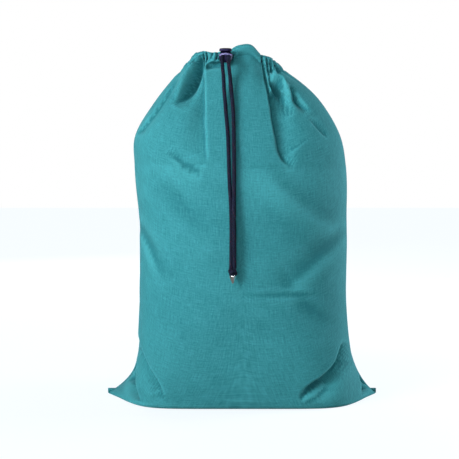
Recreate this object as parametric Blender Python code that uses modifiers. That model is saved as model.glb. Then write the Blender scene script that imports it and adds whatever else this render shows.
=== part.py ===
"""Drawcord laundry bag standing filled on a flat base.

Metres, +Z up. The front faces -Y and +X is at the right hand of someone looking at the front.
The origin is on the floor under the middle of the bag. Two flat-cut panels are sewn at both
sides and along the bottom, so each bottom corner stands out as an ear. A hem casing round the
mouth holds a drawcord, whose ends leave the casing through one stitched outlet, pass through a
spring cord lock and hang down the front, joined by a knot and a metal tip.
"""

import math

import bmesh
import bpy
import numpy as np
from mathutils import Matrix

# ---- driving dimensions ---------------------------------------------------------------------
GAP = 0.0003                # running gap between pieces that touch
CLOTH = 0.0020              # wall of the panels, a stand-in for woven cloth
SEAM_HALF = 0.0018          # half thickness of the sewn seam allowances
SEAM_DEPTH = 0.008          # how far a seam allowance reaches into the bag
EAR_REACH = 0.057           # how far an ear's tip stands out from the body
EAR_RISE_LEFT = 0.027       # height in which the left ear fades into the side
EAR_RISE_RIGHT = 0.040
EAR_HALF = 0.0058           # half thickness of an ear at its seam
EAR_POWER = 10              # how sharply an ear's reach grows towards its tip
PINCH_POWER = 16            # how close to its tip an ear is pinched flat

# Body sections: height, half width to the left, half width to the right, half depth.
BODY_SECTIONS = (
    (0.000, 0.1775, 0.1775, 0.128),
    (0.050, 0.178, 0.181, 0.133),
    (0.150, 0.178, 0.181, 0.136),
    (0.300, 0.179, 0.180, 0.136),
    (0.400, 0.185, 0.179, 0.129),
    (0.450, 0.1855, 0.171, 0.115),
    (0.500, 0.158, 0.144, 0.088),
    (0.550, 0.117, 0.100, 0.059),
    (0.5726, 0.0950, 0.0740, 0.0440),
)
SECTION_POWER = 2.3         # superellipse power of the body's sections and of the mouth
BASE_POWER = 6.0            # the same at the floor, where the section is squarer
BASE_FADE = 0.070           # height in which the base's squarer form fades
MOUTH_Z = 0.5726            # lower edge of the casing beside the lock
CREST_LIFT = 0.0125         # the casing's flat stretch right of the lock stands this much higher
CREST_X = 0.013
CREST_HALF = 0.021
RIGHT_DROP = 0.010          # how much lower the casing lies at its right end
RIGHT_DROP_X = 0.030        # where that drop starts, and the run in which it grows
RIGHT_DROP_RUN = 0.044
DROP_FROM = 0.500           # height where the panels start to follow the casing's lift and drop

CASING_HEIGHT = 0.0218
CASING_THICK = 0.011
CASING_WALL = 0.0012
MOUTH_CENTRE_X = -0.0105
MOUTH_HALF_X = 0.0845       # to the outer face of the casing
MOUTH_HALF_Y = 0.0440
HEM_LINE = 0.0030           # stitching above the casing's lower edge
HEM_THREAD = 0.0009
OUTLET_THREAD = 0.0013
OUTLET_WIDTH = 0.0244
OUTLET_HEIGHT = 0.0076

CORD_DIAMETER = 0.006
CORD_SPACING = 0.0106       # between the two cords in the lock
CORD_TURN = 0.0095          # bend radius where the cord leaves the casing
EXIT_TURN = 0.012           # bend radius of the cords at the front of the lock

LOCK_X = -0.0285
LOCK_HOLE_Z = 0.5835
LOCK_BACK_Y = -0.0500
LOCK_WIDTH = 0.0225
LOCK_DEPTH = 0.0135
LOCK_WALL = 0.0016
LOCK_BELOW = 0.0100         # barrel height below the cord holes
LOCK_ABOVE = 0.0060         # barrel height above the cord holes
LOCK_FLOOR = 0.0013
LOCK_POWER = 2.6
HOLE_DIAMETER = 0.0068
BUTTON_TRAVEL = 0.0030
BUTTON_HEIGHT = 0.0047
SLOT_WIDTH = 0.0066
SPRING_OUTER = 0.0026
SPRING_WIRE = 0.00036
SPRING_TURNS = 8
SPRING_TOP = 0.0032         # above the cord holes, inside the plunger's web
WEB_FLOOR = 0.0014          # plunger below its cord slots
BORE_CLEARANCE = 0.0002

KNOT_CENTRE = (-0.0168, -0.1448, 0.2283)
KNOT_HALF = (0.0075, 0.0066, 0.0066)
TIP_WIDTH = 0.0115
TIP_DEPTH = 0.0088
TIP_LENGTH = 0.0118
TIP_BLUNT = 0.18            # radius of the tip's lower end as a share of its width
PATH_STEP = 0.013           # between the points read from a tail's smooth path

# Route of each tail from below the lock to the knot: x, y, z.
TAIL_ROUTES = {
    "left": (
        (-0.0322, -0.0745, 0.5500),
        (-0.0310, -0.0800, 0.5280),
        (-0.0294, -0.0890, 0.5080),
        (-0.0278, -0.1000, 0.4880),
        (-0.0260, -0.1110, 0.4680),
        (-0.0244, -0.1208, 0.4470),
        (-0.0236, -0.1290, 0.4230),
        (-0.0233, -0.1346, 0.3980),
        (-0.0228, -0.1378, 0.3720),
        (-0.0214, -0.1398, 0.3460),
        (-0.0203, -0.1410, 0.3200),
        (-0.0198, -0.1416, 0.2950),
        (-0.0200, -0.1420, 0.2680),
        (-0.0204, -0.1428, 0.2480),
    ),
    "right": (
        (-0.0212, -0.0745, 0.5500),
        (-0.0192, -0.0800, 0.5280),
        (-0.0172, -0.0890, 0.5080),
        (-0.0158, -0.1000, 0.4880),
        (-0.0151, -0.1110, 0.4680),
        (-0.0147, -0.1208, 0.4470),
        (-0.0143, -0.1290, 0.4230),
        (-0.0140, -0.1346, 0.3980),
        (-0.0140, -0.1380, 0.3720),
        (-0.0143, -0.1406, 0.3460),
        (-0.0142, -0.1432, 0.3200),
        (-0.0140, -0.1450, 0.2950),
        (-0.0138, -0.1458, 0.2680),
        (-0.0134, -0.1456, 0.2480),
    ),
}

SIDES = {"left": -1.0, "right": 1.0}
FACES = {"front": -1.0, "back": 1.0}
LOCK_FRONT_Y = LOCK_BACK_Y - LOCK_DEPTH
PIVOT_Y = LOCK_FRONT_Y - EXIT_TURN - GAP
PIVOT_Z = LOCK_HOLE_Z - EXIT_TURN - CORD_DIAMETER / 2 - GAP

TEAL = (0.060, 0.300, 0.330)
TEAL_THREAD = (0.050, 0.250, 0.280)
CORD_COLOUR = (0.018, 0.010, 0.020)
LOCK_COLOUR = (0.012, 0.012, 0.020)
STEEL = (0.620, 0.620, 0.640)


# ---- scene and material helpers -------------------------------------------------------------
def clear_scene():
    for thing in list(bpy.data.objects):
        bpy.data.objects.remove(thing, do_unlink=True)


def new_collection(name):
    collection = bpy.data.collections.new(name)
    bpy.context.scene.collection.children.link(collection)
    return collection


def give_material(thing, colour, roughness, metallic=0.0):
    material = bpy.data.materials.new(thing.name)
    material.use_nodes = True
    shader = material.node_tree.nodes["Principled BSDF"]
    shader.inputs["Base Color"].default_value = (*colour, 1.0)
    shader.inputs["Roughness"].default_value = roughness
    shader.inputs["Metallic"].default_value = metallic
    thing.data.materials.clear()
    thing.data.materials.append(material)
    return thing


def mesh_object(name, points, faces, collection):
    mesh = bpy.data.meshes.new(name)
    mesh.from_pydata([tuple(point) for point in points], [], faces)
    mesh.shade_smooth()
    mesh.set_sharp_from_angle(angle=math.radians(40))
    thing = bpy.data.objects.new(name, mesh)
    collection.objects.link(thing)
    return thing


def grid_faces(rows, columns):
    """Quads of a grid of rows x columns points, row by row."""
    faces = []
    for row in range(rows - 1):
        for column in range(columns - 1):
            corner = row * columns + column
            faces.append((corner, corner + 1, corner + columns + 1, corner + columns))
    return faces


def tube(name, points, diameter, collection, closed=False, radii=None, resolution=2):
    """Round tube along points: a poly curve with a bevel and filled caps."""
    curve = bpy.data.curves.new(name, "CURVE")
    curve.dimensions = "3D"
    curve.bevel_depth = diameter / 2
    curve.bevel_resolution = resolution
    curve.use_fill_caps = not closed
    spline = curve.splines.new("POLY")
    spline.points.add(len(points) - 1)
    for index, point in enumerate(points):
        spline.points[index].co = (*point, 1.0)
        if radii is not None:
            spline.points[index].radius = radii[index]
    spline.use_cyclic_u = closed
    thing = bpy.data.objects.new(name, curve)
    collection.objects.link(thing)
    return thing


def combine(target, other, operation):
    """Exact Boolean between a piece and a hidden solid: DIFFERENCE cuts it away, UNION joins it on."""
    other.hide_render = True
    other.display_type = "WIRE"
    modifier = target.modifiers.new(other.name, "BOOLEAN")
    modifier.operation = operation
    modifier.solver = "EXACT"
    modifier.object = other


def box(name, middle, size, collection):
    solid = bmesh.new()
    bmesh.ops.create_cube(solid, size=1.0)
    bmesh.ops.scale(solid, vec=size, verts=solid.verts)
    bmesh.ops.translate(solid, vec=middle, verts=solid.verts)
    mesh = bpy.data.meshes.new(name)
    solid.to_mesh(mesh)
    solid.free()
    thing = bpy.data.objects.new(name, mesh)
    collection.objects.link(thing)
    return thing


def smooth_path(points, step):
    """Catmull-Rom curve through points, read about every step metres."""
    knots = np.array(points, dtype=float)
    padded = np.vstack([2 * knots[0] - knots[1], knots, 2 * knots[-1] - knots[-2]])
    fine = []
    for index in range(1, len(padded) - 2):
        before, start, end, after = padded[index - 1:index + 3]
        count = max(2, int(round(np.linalg.norm(end - start) / step)))
        for part in np.linspace(0.0, 1.0, count, endpoint=False):
            fine.append(0.5 * (2 * start + (end - before) * part
                               + (2 * before - 5 * start + 4 * end - after) * part ** 2
                               + (3 * start - before - 3 * end + after) * part ** 3))
    fine.append(knots[-1])
    return np.array(fine)


# ---- the bag's outer form -------------------------------------------------------------------
def section_at(height):
    """Half widths left and right and half depth at a height, on a smooth curve through the sections."""
    table = np.array(BODY_SECTIONS)
    heights = table[:, 0]
    slopes = np.gradient(table[:, 1:], heights, axis=0)
    index = int(np.clip(np.searchsorted(heights, height) - 1, 0, len(heights) - 2))
    span = heights[index + 1] - heights[index]
    part = (height - heights[index]) / span
    low, high = table[index, 1:], table[index + 1, 1:]
    blend = 3 * part ** 2 - 2 * part ** 3
    bend = span * ((part ** 3 - 2 * part ** 2 + part) * slopes[index]
                   + (part ** 3 - part ** 2) * slopes[index + 1])
    return low + (high - low) * blend + bend


def ear_share(height, side):
    """How much of an ear is left at a height: 1 at the floor, fading upwards."""
    rise = EAR_RISE_LEFT if side < 0 else EAR_RISE_RIGHT
    return math.exp(-height / rise)


def mouth_lift(x):
    """How far the casing stands above its level beside the lock, at a place across the mouth."""
    crest = CREST_LIFT * math.exp(-((x - CREST_X) / CREST_HALF) ** 2)
    return crest - RIGHT_DROP * min(1.0, max(0.0, (x - RIGHT_DROP_X) / RIGHT_DROP_RUN)) ** 2


def lifted(x, height):
    """Height of a point of the wall once it follows the casing's lift and drop near the mouth."""
    fade = max(0.0, (height - DROP_FROM) / (MOUTH_Z - DROP_FROM))
    return height + mouth_lift(x) * fade ** 2


def seam_x(height, side):
    """Where the side seam's outer edge lies at a height."""
    left, right, _ = section_at(height)
    return side * ((left if side < 0 else right) + EAR_REACH * ear_share(height, side))


def bag_point(turn, height, face):
    """Point of the outer form: turn runs from 0 at the left seam to 1 at the right seam."""
    angle = math.pi * (1.0 - turn)
    side = -1.0 if math.cos(angle) < 0 else 1.0
    across, along = abs(math.cos(angle)), abs(math.sin(angle))
    left, right, depth = section_at(height)
    share = ear_share(height, side)
    half = left if side < 0 else right
    power = SECTION_POWER + (BASE_POWER - SECTION_POWER) * math.exp(-height / BASE_FADE)
    x = side * (half * across ** (2 / power) + EAR_REACH * share * across ** EAR_POWER)
    pinch = 1.0 - share * across ** PINCH_POWER
    edge = SEAM_HALF + 2 * GAP + share * EAR_HALF
    y = edge + (depth - edge) * pinch * along ** (2 / power)
    return np.array((x, face * y, lifted(x, height)))


def add_panel(name, face, collection):
    """One cloth panel: from the bottom seam out over the base, up the wall and in to the mouth."""
    columns = 27
    turns = np.linspace(0.0, 1.0, columns)
    base_parts = (0.0, 0.3, 0.65)
    heights = (0.0, 0.006, 0.014, 0.024, 0.040, 0.065, 0.100, 0.160, 0.230, 0.300, 0.350,
               0.390, 0.420, 0.445, 0.470, 0.495, 0.520, 0.540, 0.557, MOUTH_Z)
    points = []
    for part in base_parts:
        for turn in turns:
            rim = bag_point(turn, 0.0, face)
            inner = face * (SEAM_HALF + 2 * GAP)
            points.append((rim[0], inner + (rim[1] - inner) * part, 0.0))
    for height in heights:
        for turn in turns:
            points.append(bag_point(turn, height, face))
    faces = grid_faces(len(base_parts) + len(heights), columns)
    if face > 0:
        faces = [tuple(reversed(quad)) for quad in faces]
    panel = mesh_object(name, points, faces, collection)
    wall = panel.modifiers.new("cloth", "SOLIDIFY")
    wall.thickness = CLOTH
    wall.offset = -1.0
    wall.use_even_offset = True
    return give_material(panel, TEAL, 0.85)


def recalculated(thing):
    """Faces of a closed mesh turned to point outwards."""
    facing = bmesh.new()
    facing.from_mesh(thing.data)
    bmesh.ops.recalc_face_normals(facing, faces=facing.faces)
    facing.to_mesh(thing.data)
    facing.free()
    return thing


def add_side_seam(name, side, collection):
    """Sewn allowance inside a side seam, a flat band that follows the seam from the ear to the mouth."""
    heights = (0.0105, 0.016, 0.024, 0.036, 0.060, 0.110, 0.200, 0.300, 0.380, 0.430, 0.460, 0.490,
               0.520, 0.545, 0.562)
    outer = []
    for height in heights:
        x = seam_x(height, side)
        outer.append((x - side * GAP, lifted(x, height)))
    outer = np.array(outer)
    along = np.gradient(outer, axis=0)
    along /= np.linalg.norm(along, axis=1)[:, None]
    inner = outer + np.stack([-side * along[:, 1], side * along[:, 0]], axis=1) * SEAM_DEPTH
    solid = bmesh.new()
    rim = [solid.verts.new((x, -SEAM_HALF, z)) for x, z in [*outer, *inner[::-1]]]
    face = solid.faces.new(rim)
    grown = bmesh.ops.extrude_face_region(solid, geom=[face])
    moved = [part for part in grown["geom"] if isinstance(part, bmesh.types.BMVert)]
    bmesh.ops.translate(solid, vec=(0.0, 2 * SEAM_HALF, 0.0), verts=moved)
    mesh = bpy.data.meshes.new(name)
    solid.to_mesh(mesh)
    solid.free()
    seam = bpy.data.objects.new(name, mesh)
    collection.objects.link(seam)
    return give_material(recalculated(seam), TEAL_THREAD, 0.9)


def add_bottom_seam(collection):
    """Sewn allowance standing up inside along the bottom seam, from ear to ear."""
    reach = BODY_SECTIONS[0][1] + EAR_REACH / 4
    seam = box("bottom_seam", (0.0, 0.0, SEAM_DEPTH / 2 + GAP), (2 * reach, 2 * SEAM_HALF, SEAM_DEPTH),
               collection)
    return give_material(seam, TEAL_THREAD, 0.9)


# ---- casing, stitching and drawcord ---------------------------------------------------------
def mouth_oval(angle, inset):
    """Point of the mouth's oval in plan, inset from the casing's outer face; angle 0 is at the right."""
    cosine, sine = math.cos(angle), math.sin(angle)
    x = math.copysign(abs(cosine) ** (2 / SECTION_POWER), cosine) * (MOUTH_HALF_X - inset)
    y = math.copysign(abs(sine) ** (2 / SECTION_POWER), sine) * (MOUTH_HALF_Y - inset)
    return np.array((MOUTH_CENTRE_X + x, y, 0.0))


def mouth_front_y(x, inset):
    """Where the front of the mouth's oval lies at a place across it."""
    part = abs(x - MOUTH_CENTRE_X) / (MOUTH_HALF_X - inset)
    return -(MOUTH_HALF_Y - inset) * (1 - part ** SECTION_POWER) ** (1 / SECTION_POWER)


def mouth_outward(angle):
    """Unit vector in plan that points out of the mouth's oval."""
    cosine, sine = math.cos(angle), math.sin(angle)
    power = 2 - 2 / SECTION_POWER
    normal = np.array((math.copysign(abs(cosine) ** power, cosine) / MOUTH_HALF_X,
                       math.copysign(abs(sine) ** power, sine) / MOUTH_HALF_Y, 0.0))
    return normal / np.linalg.norm(normal)


def add_casing(name, face, collection, cutters):
    """Half of the hem casing: a tunnel of folded cloth along half of the mouth's oval, open at both ends."""
    steps, half_thick, corner = 28, CASING_THICK / 2, 0.0035
    profile = []
    for quarter, (out, up) in enumerate(((1, 1), (-1, 1), (-1, -1), (1, -1))):
        for part in range(3):
            angle = math.pi / 2 * (quarter + part / 2)
            profile.append((out * (half_thick - corner) + corner * math.cos(angle),
                            up * (CASING_HEIGHT / 2 - corner) + corner * math.sin(angle)))
    end_angle = 0.010
    points = []
    for step in range(steps + 1):
        angle = face * (end_angle + (math.pi - 2 * end_angle) * step / steps)
        middle = mouth_oval(angle, half_thick)
        level = MOUTH_Z + GAP + CASING_HEIGHT / 2 + mouth_lift(middle[0])
        for out, up in profile:
            points.append(middle + mouth_outward(angle) * out + np.array((0.0, 0.0, level + up)))
    ring = len(profile)
    faces = []
    for row in range(steps):
        for column in range(ring):
            other = (column + 1) % ring
            faces.append((row * ring + column, row * ring + other,
                          (row + 1) * ring + other, (row + 1) * ring + column))
    if face > 0:
        faces = [tuple(reversed(quad)) for quad in faces]
    casing = mesh_object(name, points, faces, collection)
    wall = casing.modifiers.new("folded cloth", "SOLIDIFY")
    wall.thickness = CASING_WALL
    wall.offset = -1.0
    wall.use_even_offset = True
    if face < 0:
        reach = CASING_THICK
        middle = (LOCK_X, CASING_WALL + CASING_THICK / 4 - MOUTH_HALF_Y - reach / 2, LOCK_HOLE_Z)
        outlet = box("outlet_cutter", middle, (OUTLET_WIDTH, reach, OUTLET_HEIGHT), cutters)
        combine(casing, outlet, "DIFFERENCE")
    return give_material(casing, TEAL, 0.85)


def add_hem_stitching(collection):
    """Closed line of sewing thread along the lower edge of the casing."""
    count = 56
    points = []
    for step in range(count):
        angle = 2 * math.pi * (step + 0.5) / count
        place = mouth_oval(angle, 0.0) + mouth_outward(angle) * (HEM_THREAD / 2 + GAP)
        points.append(place + np.array((0.0, 0.0, MOUTH_Z + HEM_LINE + mouth_lift(place[0]))))
    stitching = tube("hem_stitching", points, HEM_THREAD, collection, closed=True)
    return give_material(stitching, TEAL_THREAD, 0.8)


def add_outlet_stitching(collection):
    """Satin-stitched rim round the cord outlet, laid on the front face of the casing."""
    count, rim = 32, 0.0012
    half_x, half_z = OUTLET_WIDTH / 2 + rim, OUTLET_HEIGHT / 2 + rim
    points = []
    for step in range(count):
        angle = 2 * math.pi * step / count
        x = LOCK_X + half_x * math.copysign(abs(math.cos(angle)) ** 0.5, math.cos(angle))
        z = LOCK_HOLE_Z + half_z * math.copysign(abs(math.sin(angle)) ** 0.5, math.sin(angle))
        points.append((x, mouth_front_y(x, 0.0) - OUTLET_THREAD / 2 - 2 * GAP, z))
    stitching = tube("outlet_stitching", points, OUTLET_THREAD, collection, closed=True)
    return give_material(stitching, TEAL_THREAD, 0.8)


def add_drawcord(collection):
    """One cord: in through the lock and the outlet, round the mouth inside the casing and out again."""
    half = CORD_SPACING / 2
    end_y = LOCK_FRONT_Y + GAP
    inlets = []
    for side in (-1.0, 1.0):
        start_x = LOCK_X + side * half
        turn_x = start_x + side * CORD_TURN
        centre = np.array((turn_x, mouth_front_y(turn_x, CASING_THICK / 2) - CORD_TURN))
        run = [(start_x, y, LOCK_HOLE_Z) for y in np.linspace(end_y, centre[1], 4)]
        for part in range(1, 6):
            angle = math.pi / 2 * part / 5
            run.append((centre[0] - side * CORD_TURN * math.cos(angle),
                        centre[1] + CORD_TURN * math.sin(angle), LOCK_HOLE_Z))
        inlets.append(run)
    left, right = inlets
    count = 60
    loop = []
    for step in range(count):
        place = mouth_oval(-math.pi / 2 - 2 * math.pi * (step + 0.5) / count, CASING_THICK / 2)
        loop.append((place[0], place[1], LOCK_HOLE_Z + mouth_lift(place[0])))
    start = next(i for i, place in enumerate(loop) if place[0] < left[-1][0] - 0.004)
    stop = max(i for i in range(count) if loop[i][0] > right[-1][0] + 0.004)
    points = left + loop[start:stop + 1] + right[::-1]
    cord = tube("drawcord", points, CORD_DIAMETER, collection)
    return give_material(cord, CORD_COLOUR, 0.75)


# ---- tails, knot and tip --------------------------------------------------------------------
def add_cord_exit(name, side, collection):
    """Cord out of the front of the lock and down in a quarter turn."""
    x = LOCK_X + side * CORD_SPACING / 2
    points = []
    for part in range(9):
        angle = math.pi / 2 * part / 8
        points.append((x, LOCK_FRONT_Y - GAP - EXIT_TURN * math.sin(angle),
                       LOCK_HOLE_Z - EXIT_TURN * (1 - math.cos(angle))))
    return give_material(tube(name, points, CORD_DIAMETER, collection), CORD_COLOUR, 0.75)


def add_tail(name, side, route, collection):
    """Free tail of the cord, with a round upper end centred on the line about which it swings."""
    radius = CORD_DIAMETER / 2
    x = LOCK_X + side * CORD_SPACING / 2
    end_z = KNOT_CENTRE[2] + KNOT_HALF[2] + GAP
    last = (KNOT_CENTRE[0] + side * (radius + GAP / 2), KNOT_CENTRE[1], end_z)
    path = smooth_path([(x, PIVOT_Y, PIVOT_Z), *route, last], PATH_STEP)
    cap_angles = np.radians((84.0, 62.0, 40.0, 20.0))
    cap = [(x, PIVOT_Y, PIVOT_Z + radius * math.sin(angle)) for angle in cap_angles]
    radii = [math.cos(angle) for angle in cap_angles] + [1.0] * len(path)
    tail = tube(name, cap + [tuple(place) for place in path], CORD_DIAMETER, collection, radii=radii)
    return give_material(tail, CORD_COLOUR, 0.75)


def add_knot(collection):
    """Plain body of the knot that joins both tails, flat at the top and bottom where it meets them."""
    solid, flat = bmesh.new(), 0.93
    bmesh.ops.create_uvsphere(solid, u_segments=20, v_segments=12, radius=1.0)
    for vertex in solid.verts:
        vertex.co.z = min(flat, max(-flat, vertex.co.z)) / flat
    bmesh.ops.scale(solid, vec=KNOT_HALF, verts=solid.verts)
    bmesh.ops.translate(solid, vec=KNOT_CENTRE, verts=solid.verts)
    mesh = bpy.data.meshes.new("knot")
    solid.to_mesh(mesh)
    solid.free()
    mesh.shade_smooth()
    knot = bpy.data.objects.new("knot", mesh)
    collection.objects.link(knot)
    return give_material(knot, CORD_COLOUR, 0.75)


def add_cord_tip(collection):
    """Folded sheet metal tip: a four-sided wedge that narrows to a blunt point."""
    solid = bmesh.new()
    bmesh.ops.create_cone(solid, cap_ends=True, segments=4, radius1=TIP_BLUNT, radius2=math.sqrt(0.5),
                          depth=1.0)
    bmesh.ops.rotate(solid, cent=(0.0, 0.0, 0.0), verts=solid.verts,
                     matrix=Matrix.Rotation(math.pi / 4, 3, "Z"))
    bmesh.ops.scale(solid, vec=(TIP_WIDTH, TIP_DEPTH, TIP_LENGTH), verts=solid.verts)
    middle_z = KNOT_CENTRE[2] - KNOT_HALF[2] - GAP - TIP_LENGTH / 2
    bmesh.ops.translate(solid, vec=(KNOT_CENTRE[0], KNOT_CENTRE[1], middle_z), verts=solid.verts)
    mesh = bpy.data.meshes.new("cord_tip")
    solid.to_mesh(mesh)
    solid.free()
    tip = bpy.data.objects.new("cord_tip", mesh)
    collection.objects.link(tip)
    edges = tip.modifiers.new("edges", "BEVEL")
    edges.width = 0.0005
    edges.segments = 2
    return give_material(tip, STEEL, 0.3, 1.0)


# ---- cord lock ------------------------------------------------------------------------------
def oval_prism(name, half_x, half_y, low, high, collection, sides=36):
    """Upright prism on a superellipse, centred on the lock."""
    solid = bmesh.new()
    rim = []
    for step in range(sides):
        angle = 2 * math.pi * step / sides
        cosine, sine = math.cos(angle), math.sin(angle)
        x = math.copysign(abs(cosine) ** (2 / LOCK_POWER), cosine) * half_x
        y = math.copysign(abs(sine) ** (2 / LOCK_POWER), sine) * half_y
        rim.append(solid.verts.new((LOCK_X + x, LOCK_BACK_Y - LOCK_DEPTH / 2 + y, low)))
    face = solid.faces.new(rim)
    grown = bmesh.ops.extrude_face_region(solid, geom=[face])
    moved = [part for part in grown["geom"] if isinstance(part, bmesh.types.BMVert)]
    bmesh.ops.translate(solid, vec=(0.0, 0.0, high - low), verts=moved)
    bmesh.ops.recalc_face_normals(solid, faces=solid.faces)
    mesh = bpy.data.meshes.new(name)
    solid.to_mesh(mesh)
    solid.free()
    mesh.shade_smooth()
    mesh.set_sharp_from_angle(angle=math.radians(40))
    thing = bpy.data.objects.new(name, mesh)
    collection.objects.link(thing)
    return thing


def round_edges(thing, width, segments=2):
    edges = thing.modifiers.new("rounded edges", "BEVEL")
    edges.width = width
    edges.segments = segments
    edges.limit_method = "ANGLE"
    edges.angle_limit = math.radians(40)


def cylinder_cutter(name, centre, radius, length, tilt, collection):
    """Cylinder along Z, or along Y with a tilt of a quarter turn about X."""
    solid = bmesh.new()
    bmesh.ops.create_cone(solid, cap_ends=True, segments=20, radius1=radius, radius2=radius, depth=length)
    bmesh.ops.rotate(solid, cent=(0.0, 0.0, 0.0), verts=solid.verts, matrix=Matrix.Rotation(tilt, 3, "X"))
    bmesh.ops.translate(solid, vec=centre, verts=solid.verts)
    mesh = bpy.data.meshes.new(name)
    solid.to_mesh(mesh)
    solid.free()
    thing = bpy.data.objects.new(name, mesh)
    collection.objects.link(thing)
    return thing


def add_lock_barrel(collection, cutters):
    """Oval barrel, open at the top, with two cord holes from back to front."""
    low, high = LOCK_HOLE_Z - LOCK_BELOW, LOCK_HOLE_Z + LOCK_ABOVE
    barrel = oval_prism("lock_barrel", LOCK_WIDTH / 2, LOCK_DEPTH / 2, low, high, collection)
    round_edges(barrel, 0.0014, 3)
    inside = oval_prism("barrel_cutter", LOCK_WIDTH / 2 - LOCK_WALL, LOCK_DEPTH / 2 - LOCK_WALL,
                        low + LOCK_FLOOR, high + 0.004, cutters)
    combine(barrel, inside, "DIFFERENCE")
    for name, side in SIDES.items():
        centre = (LOCK_X + side * CORD_SPACING / 2, LOCK_BACK_Y - LOCK_DEPTH / 2, LOCK_HOLE_Z)
        hole = cylinder_cutter(name + "_hole_cutter", centre, HOLE_DIAMETER / 2, 2 * LOCK_DEPTH,
                               math.pi / 2, cutters)
        combine(barrel, hole, "DIFFERENCE")
    return give_material(barrel, LOCK_COLOUR, 0.35)


def add_lock_plunger(collection, cutters):
    """Plunger with two cord slots, a web between them that takes the spring, and the button on top."""
    clear = LOCK_WALL + GAP
    rim = LOCK_HOLE_Z + LOCK_ABOVE
    low = LOCK_HOLE_Z - SLOT_WIDTH / 2 - WEB_FLOOR
    head_low = rim + BUTTON_TRAVEL + GAP
    overlap, step = 0.001, 0.0004
    plunger = oval_prism("lock_plunger", LOCK_WIDTH / 2 - clear, LOCK_DEPTH / 2 - clear,
                         low, head_low + overlap, collection)
    head = oval_prism("head_part", LOCK_WIDTH / 2 - step, LOCK_DEPTH / 2 - step,
                      head_low, head_low + BUTTON_HEIGHT, cutters)
    round_edges(head, 0.0016, 3)
    combine(plunger, head, "UNION")
    slot_low = LOCK_HOLE_Z - SLOT_WIDTH / 2
    slot_high = LOCK_HOLE_Z + SLOT_WIDTH / 2 + BUTTON_TRAVEL
    for name, side in SIDES.items():
        middle = (LOCK_X + side * CORD_SPACING / 2, LOCK_BACK_Y - LOCK_DEPTH / 2,
                  (slot_low + slot_high) / 2)
        slot = box(name + "_slot_cutter", middle, (SLOT_WIDTH, 2 * LOCK_DEPTH, slot_high - slot_low),
                   cutters)
        combine(plunger, slot, "DIFFERENCE")
    bore_low, bore_high = low - overlap, LOCK_HOLE_Z + SPRING_TOP + GAP
    centre = (LOCK_X, LOCK_BACK_Y - LOCK_DEPTH / 2, (bore_low + bore_high) / 2)
    bore = cylinder_cutter("spring_bore_cutter", centre, SPRING_OUTER / 2 + BORE_CLEARANCE,
                           bore_high - bore_low, 0.0, cutters)
    combine(plunger, bore, "DIFFERENCE")
    return give_material(plunger, LOCK_COLOUR, 0.3)


def add_lock_spring(collection):
    """Coil spring from the barrel's floor up into the plunger's web."""
    low = LOCK_HOLE_Z - LOCK_BELOW + LOCK_FLOOR + GAP + SPRING_WIRE / 2
    high = LOCK_HOLE_Z + SPRING_TOP - SPRING_WIRE / 2
    per_turn = 10
    radius = (SPRING_OUTER - SPRING_WIRE) / 2
    points = []
    for step in range(SPRING_TURNS * per_turn + 1):
        angle = 2 * math.pi * step / per_turn
        points.append((LOCK_X + radius * math.cos(angle),
                       LOCK_BACK_Y - LOCK_DEPTH / 2 + radius * math.sin(angle),
                       low + (high - low) * step / (SPRING_TURNS * per_turn)))
    return give_material(tube("lock_spring", points, SPRING_WIRE, collection), STEEL, 0.3, 1.0)


def main():
    clear_scene()
    parts = new_collection("laundry_bag")
    cutters = new_collection("cutters")
    for name, face in FACES.items():
        add_panel(name + "_panel", face, parts)
        add_casing("casing_" + name, face, parts, cutters)
    for name, side in SIDES.items():
        add_side_seam("side_seam_" + name, side, parts)
    add_bottom_seam(parts)
    add_hem_stitching(parts)
    add_outlet_stitching(parts)
    add_drawcord(parts)
    add_lock_barrel(parts, cutters)
    add_lock_plunger(parts, cutters)
    add_lock_spring(parts)
    for name, side in SIDES.items():
        add_cord_exit("cord_exit_" + name, side, parts)
        add_tail("tail_" + name, side, TAIL_ROUTES[name], parts)
    add_knot(parts)
    add_cord_tip(parts)


main()
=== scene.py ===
"""Looks of a drawcord laundry bag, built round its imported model.

Metres, +Z up, front towards -Y. The bag's cloth is two sewn panels, each one sheet that runs from
the bottom seam out over the base, up the wall, in to the mouth and over the hem casing.
"""

import logging
import math
from dataclasses import dataclass, field
from enum import Enum

import bmesh
import bpy
import numpy as np
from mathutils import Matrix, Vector


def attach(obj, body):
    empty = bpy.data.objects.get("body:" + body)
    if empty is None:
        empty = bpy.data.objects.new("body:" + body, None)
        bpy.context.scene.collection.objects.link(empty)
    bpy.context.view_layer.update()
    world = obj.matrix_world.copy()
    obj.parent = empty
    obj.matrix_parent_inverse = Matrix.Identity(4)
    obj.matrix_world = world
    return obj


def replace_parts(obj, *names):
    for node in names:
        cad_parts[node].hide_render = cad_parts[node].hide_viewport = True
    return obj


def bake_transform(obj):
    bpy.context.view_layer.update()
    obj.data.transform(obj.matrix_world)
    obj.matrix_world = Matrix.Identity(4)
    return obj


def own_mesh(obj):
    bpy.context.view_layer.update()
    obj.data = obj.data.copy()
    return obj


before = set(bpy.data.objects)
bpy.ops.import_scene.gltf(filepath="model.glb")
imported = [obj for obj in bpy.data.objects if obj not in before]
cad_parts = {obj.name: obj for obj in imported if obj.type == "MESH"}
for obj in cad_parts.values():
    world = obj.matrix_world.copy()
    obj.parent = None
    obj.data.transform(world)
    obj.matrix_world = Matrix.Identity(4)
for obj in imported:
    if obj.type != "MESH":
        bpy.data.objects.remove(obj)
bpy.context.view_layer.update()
LOG = logging.getLogger("laundry_bag")
Array = np.ndarray
Socket = bpy.types.NodeSocket
MILLIMETRE = 0.001


class Face(Enum):
    """Which panel of the bag a sheet belongs to, as the sign of its Y."""

    FRONT = -1.0
    BACK = 1.0


class Side(Enum):
    """Which of the two cords a piece belongs to, as the sign of its X."""

    LEFT = -1.0
    RIGHT = 1.0


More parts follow.
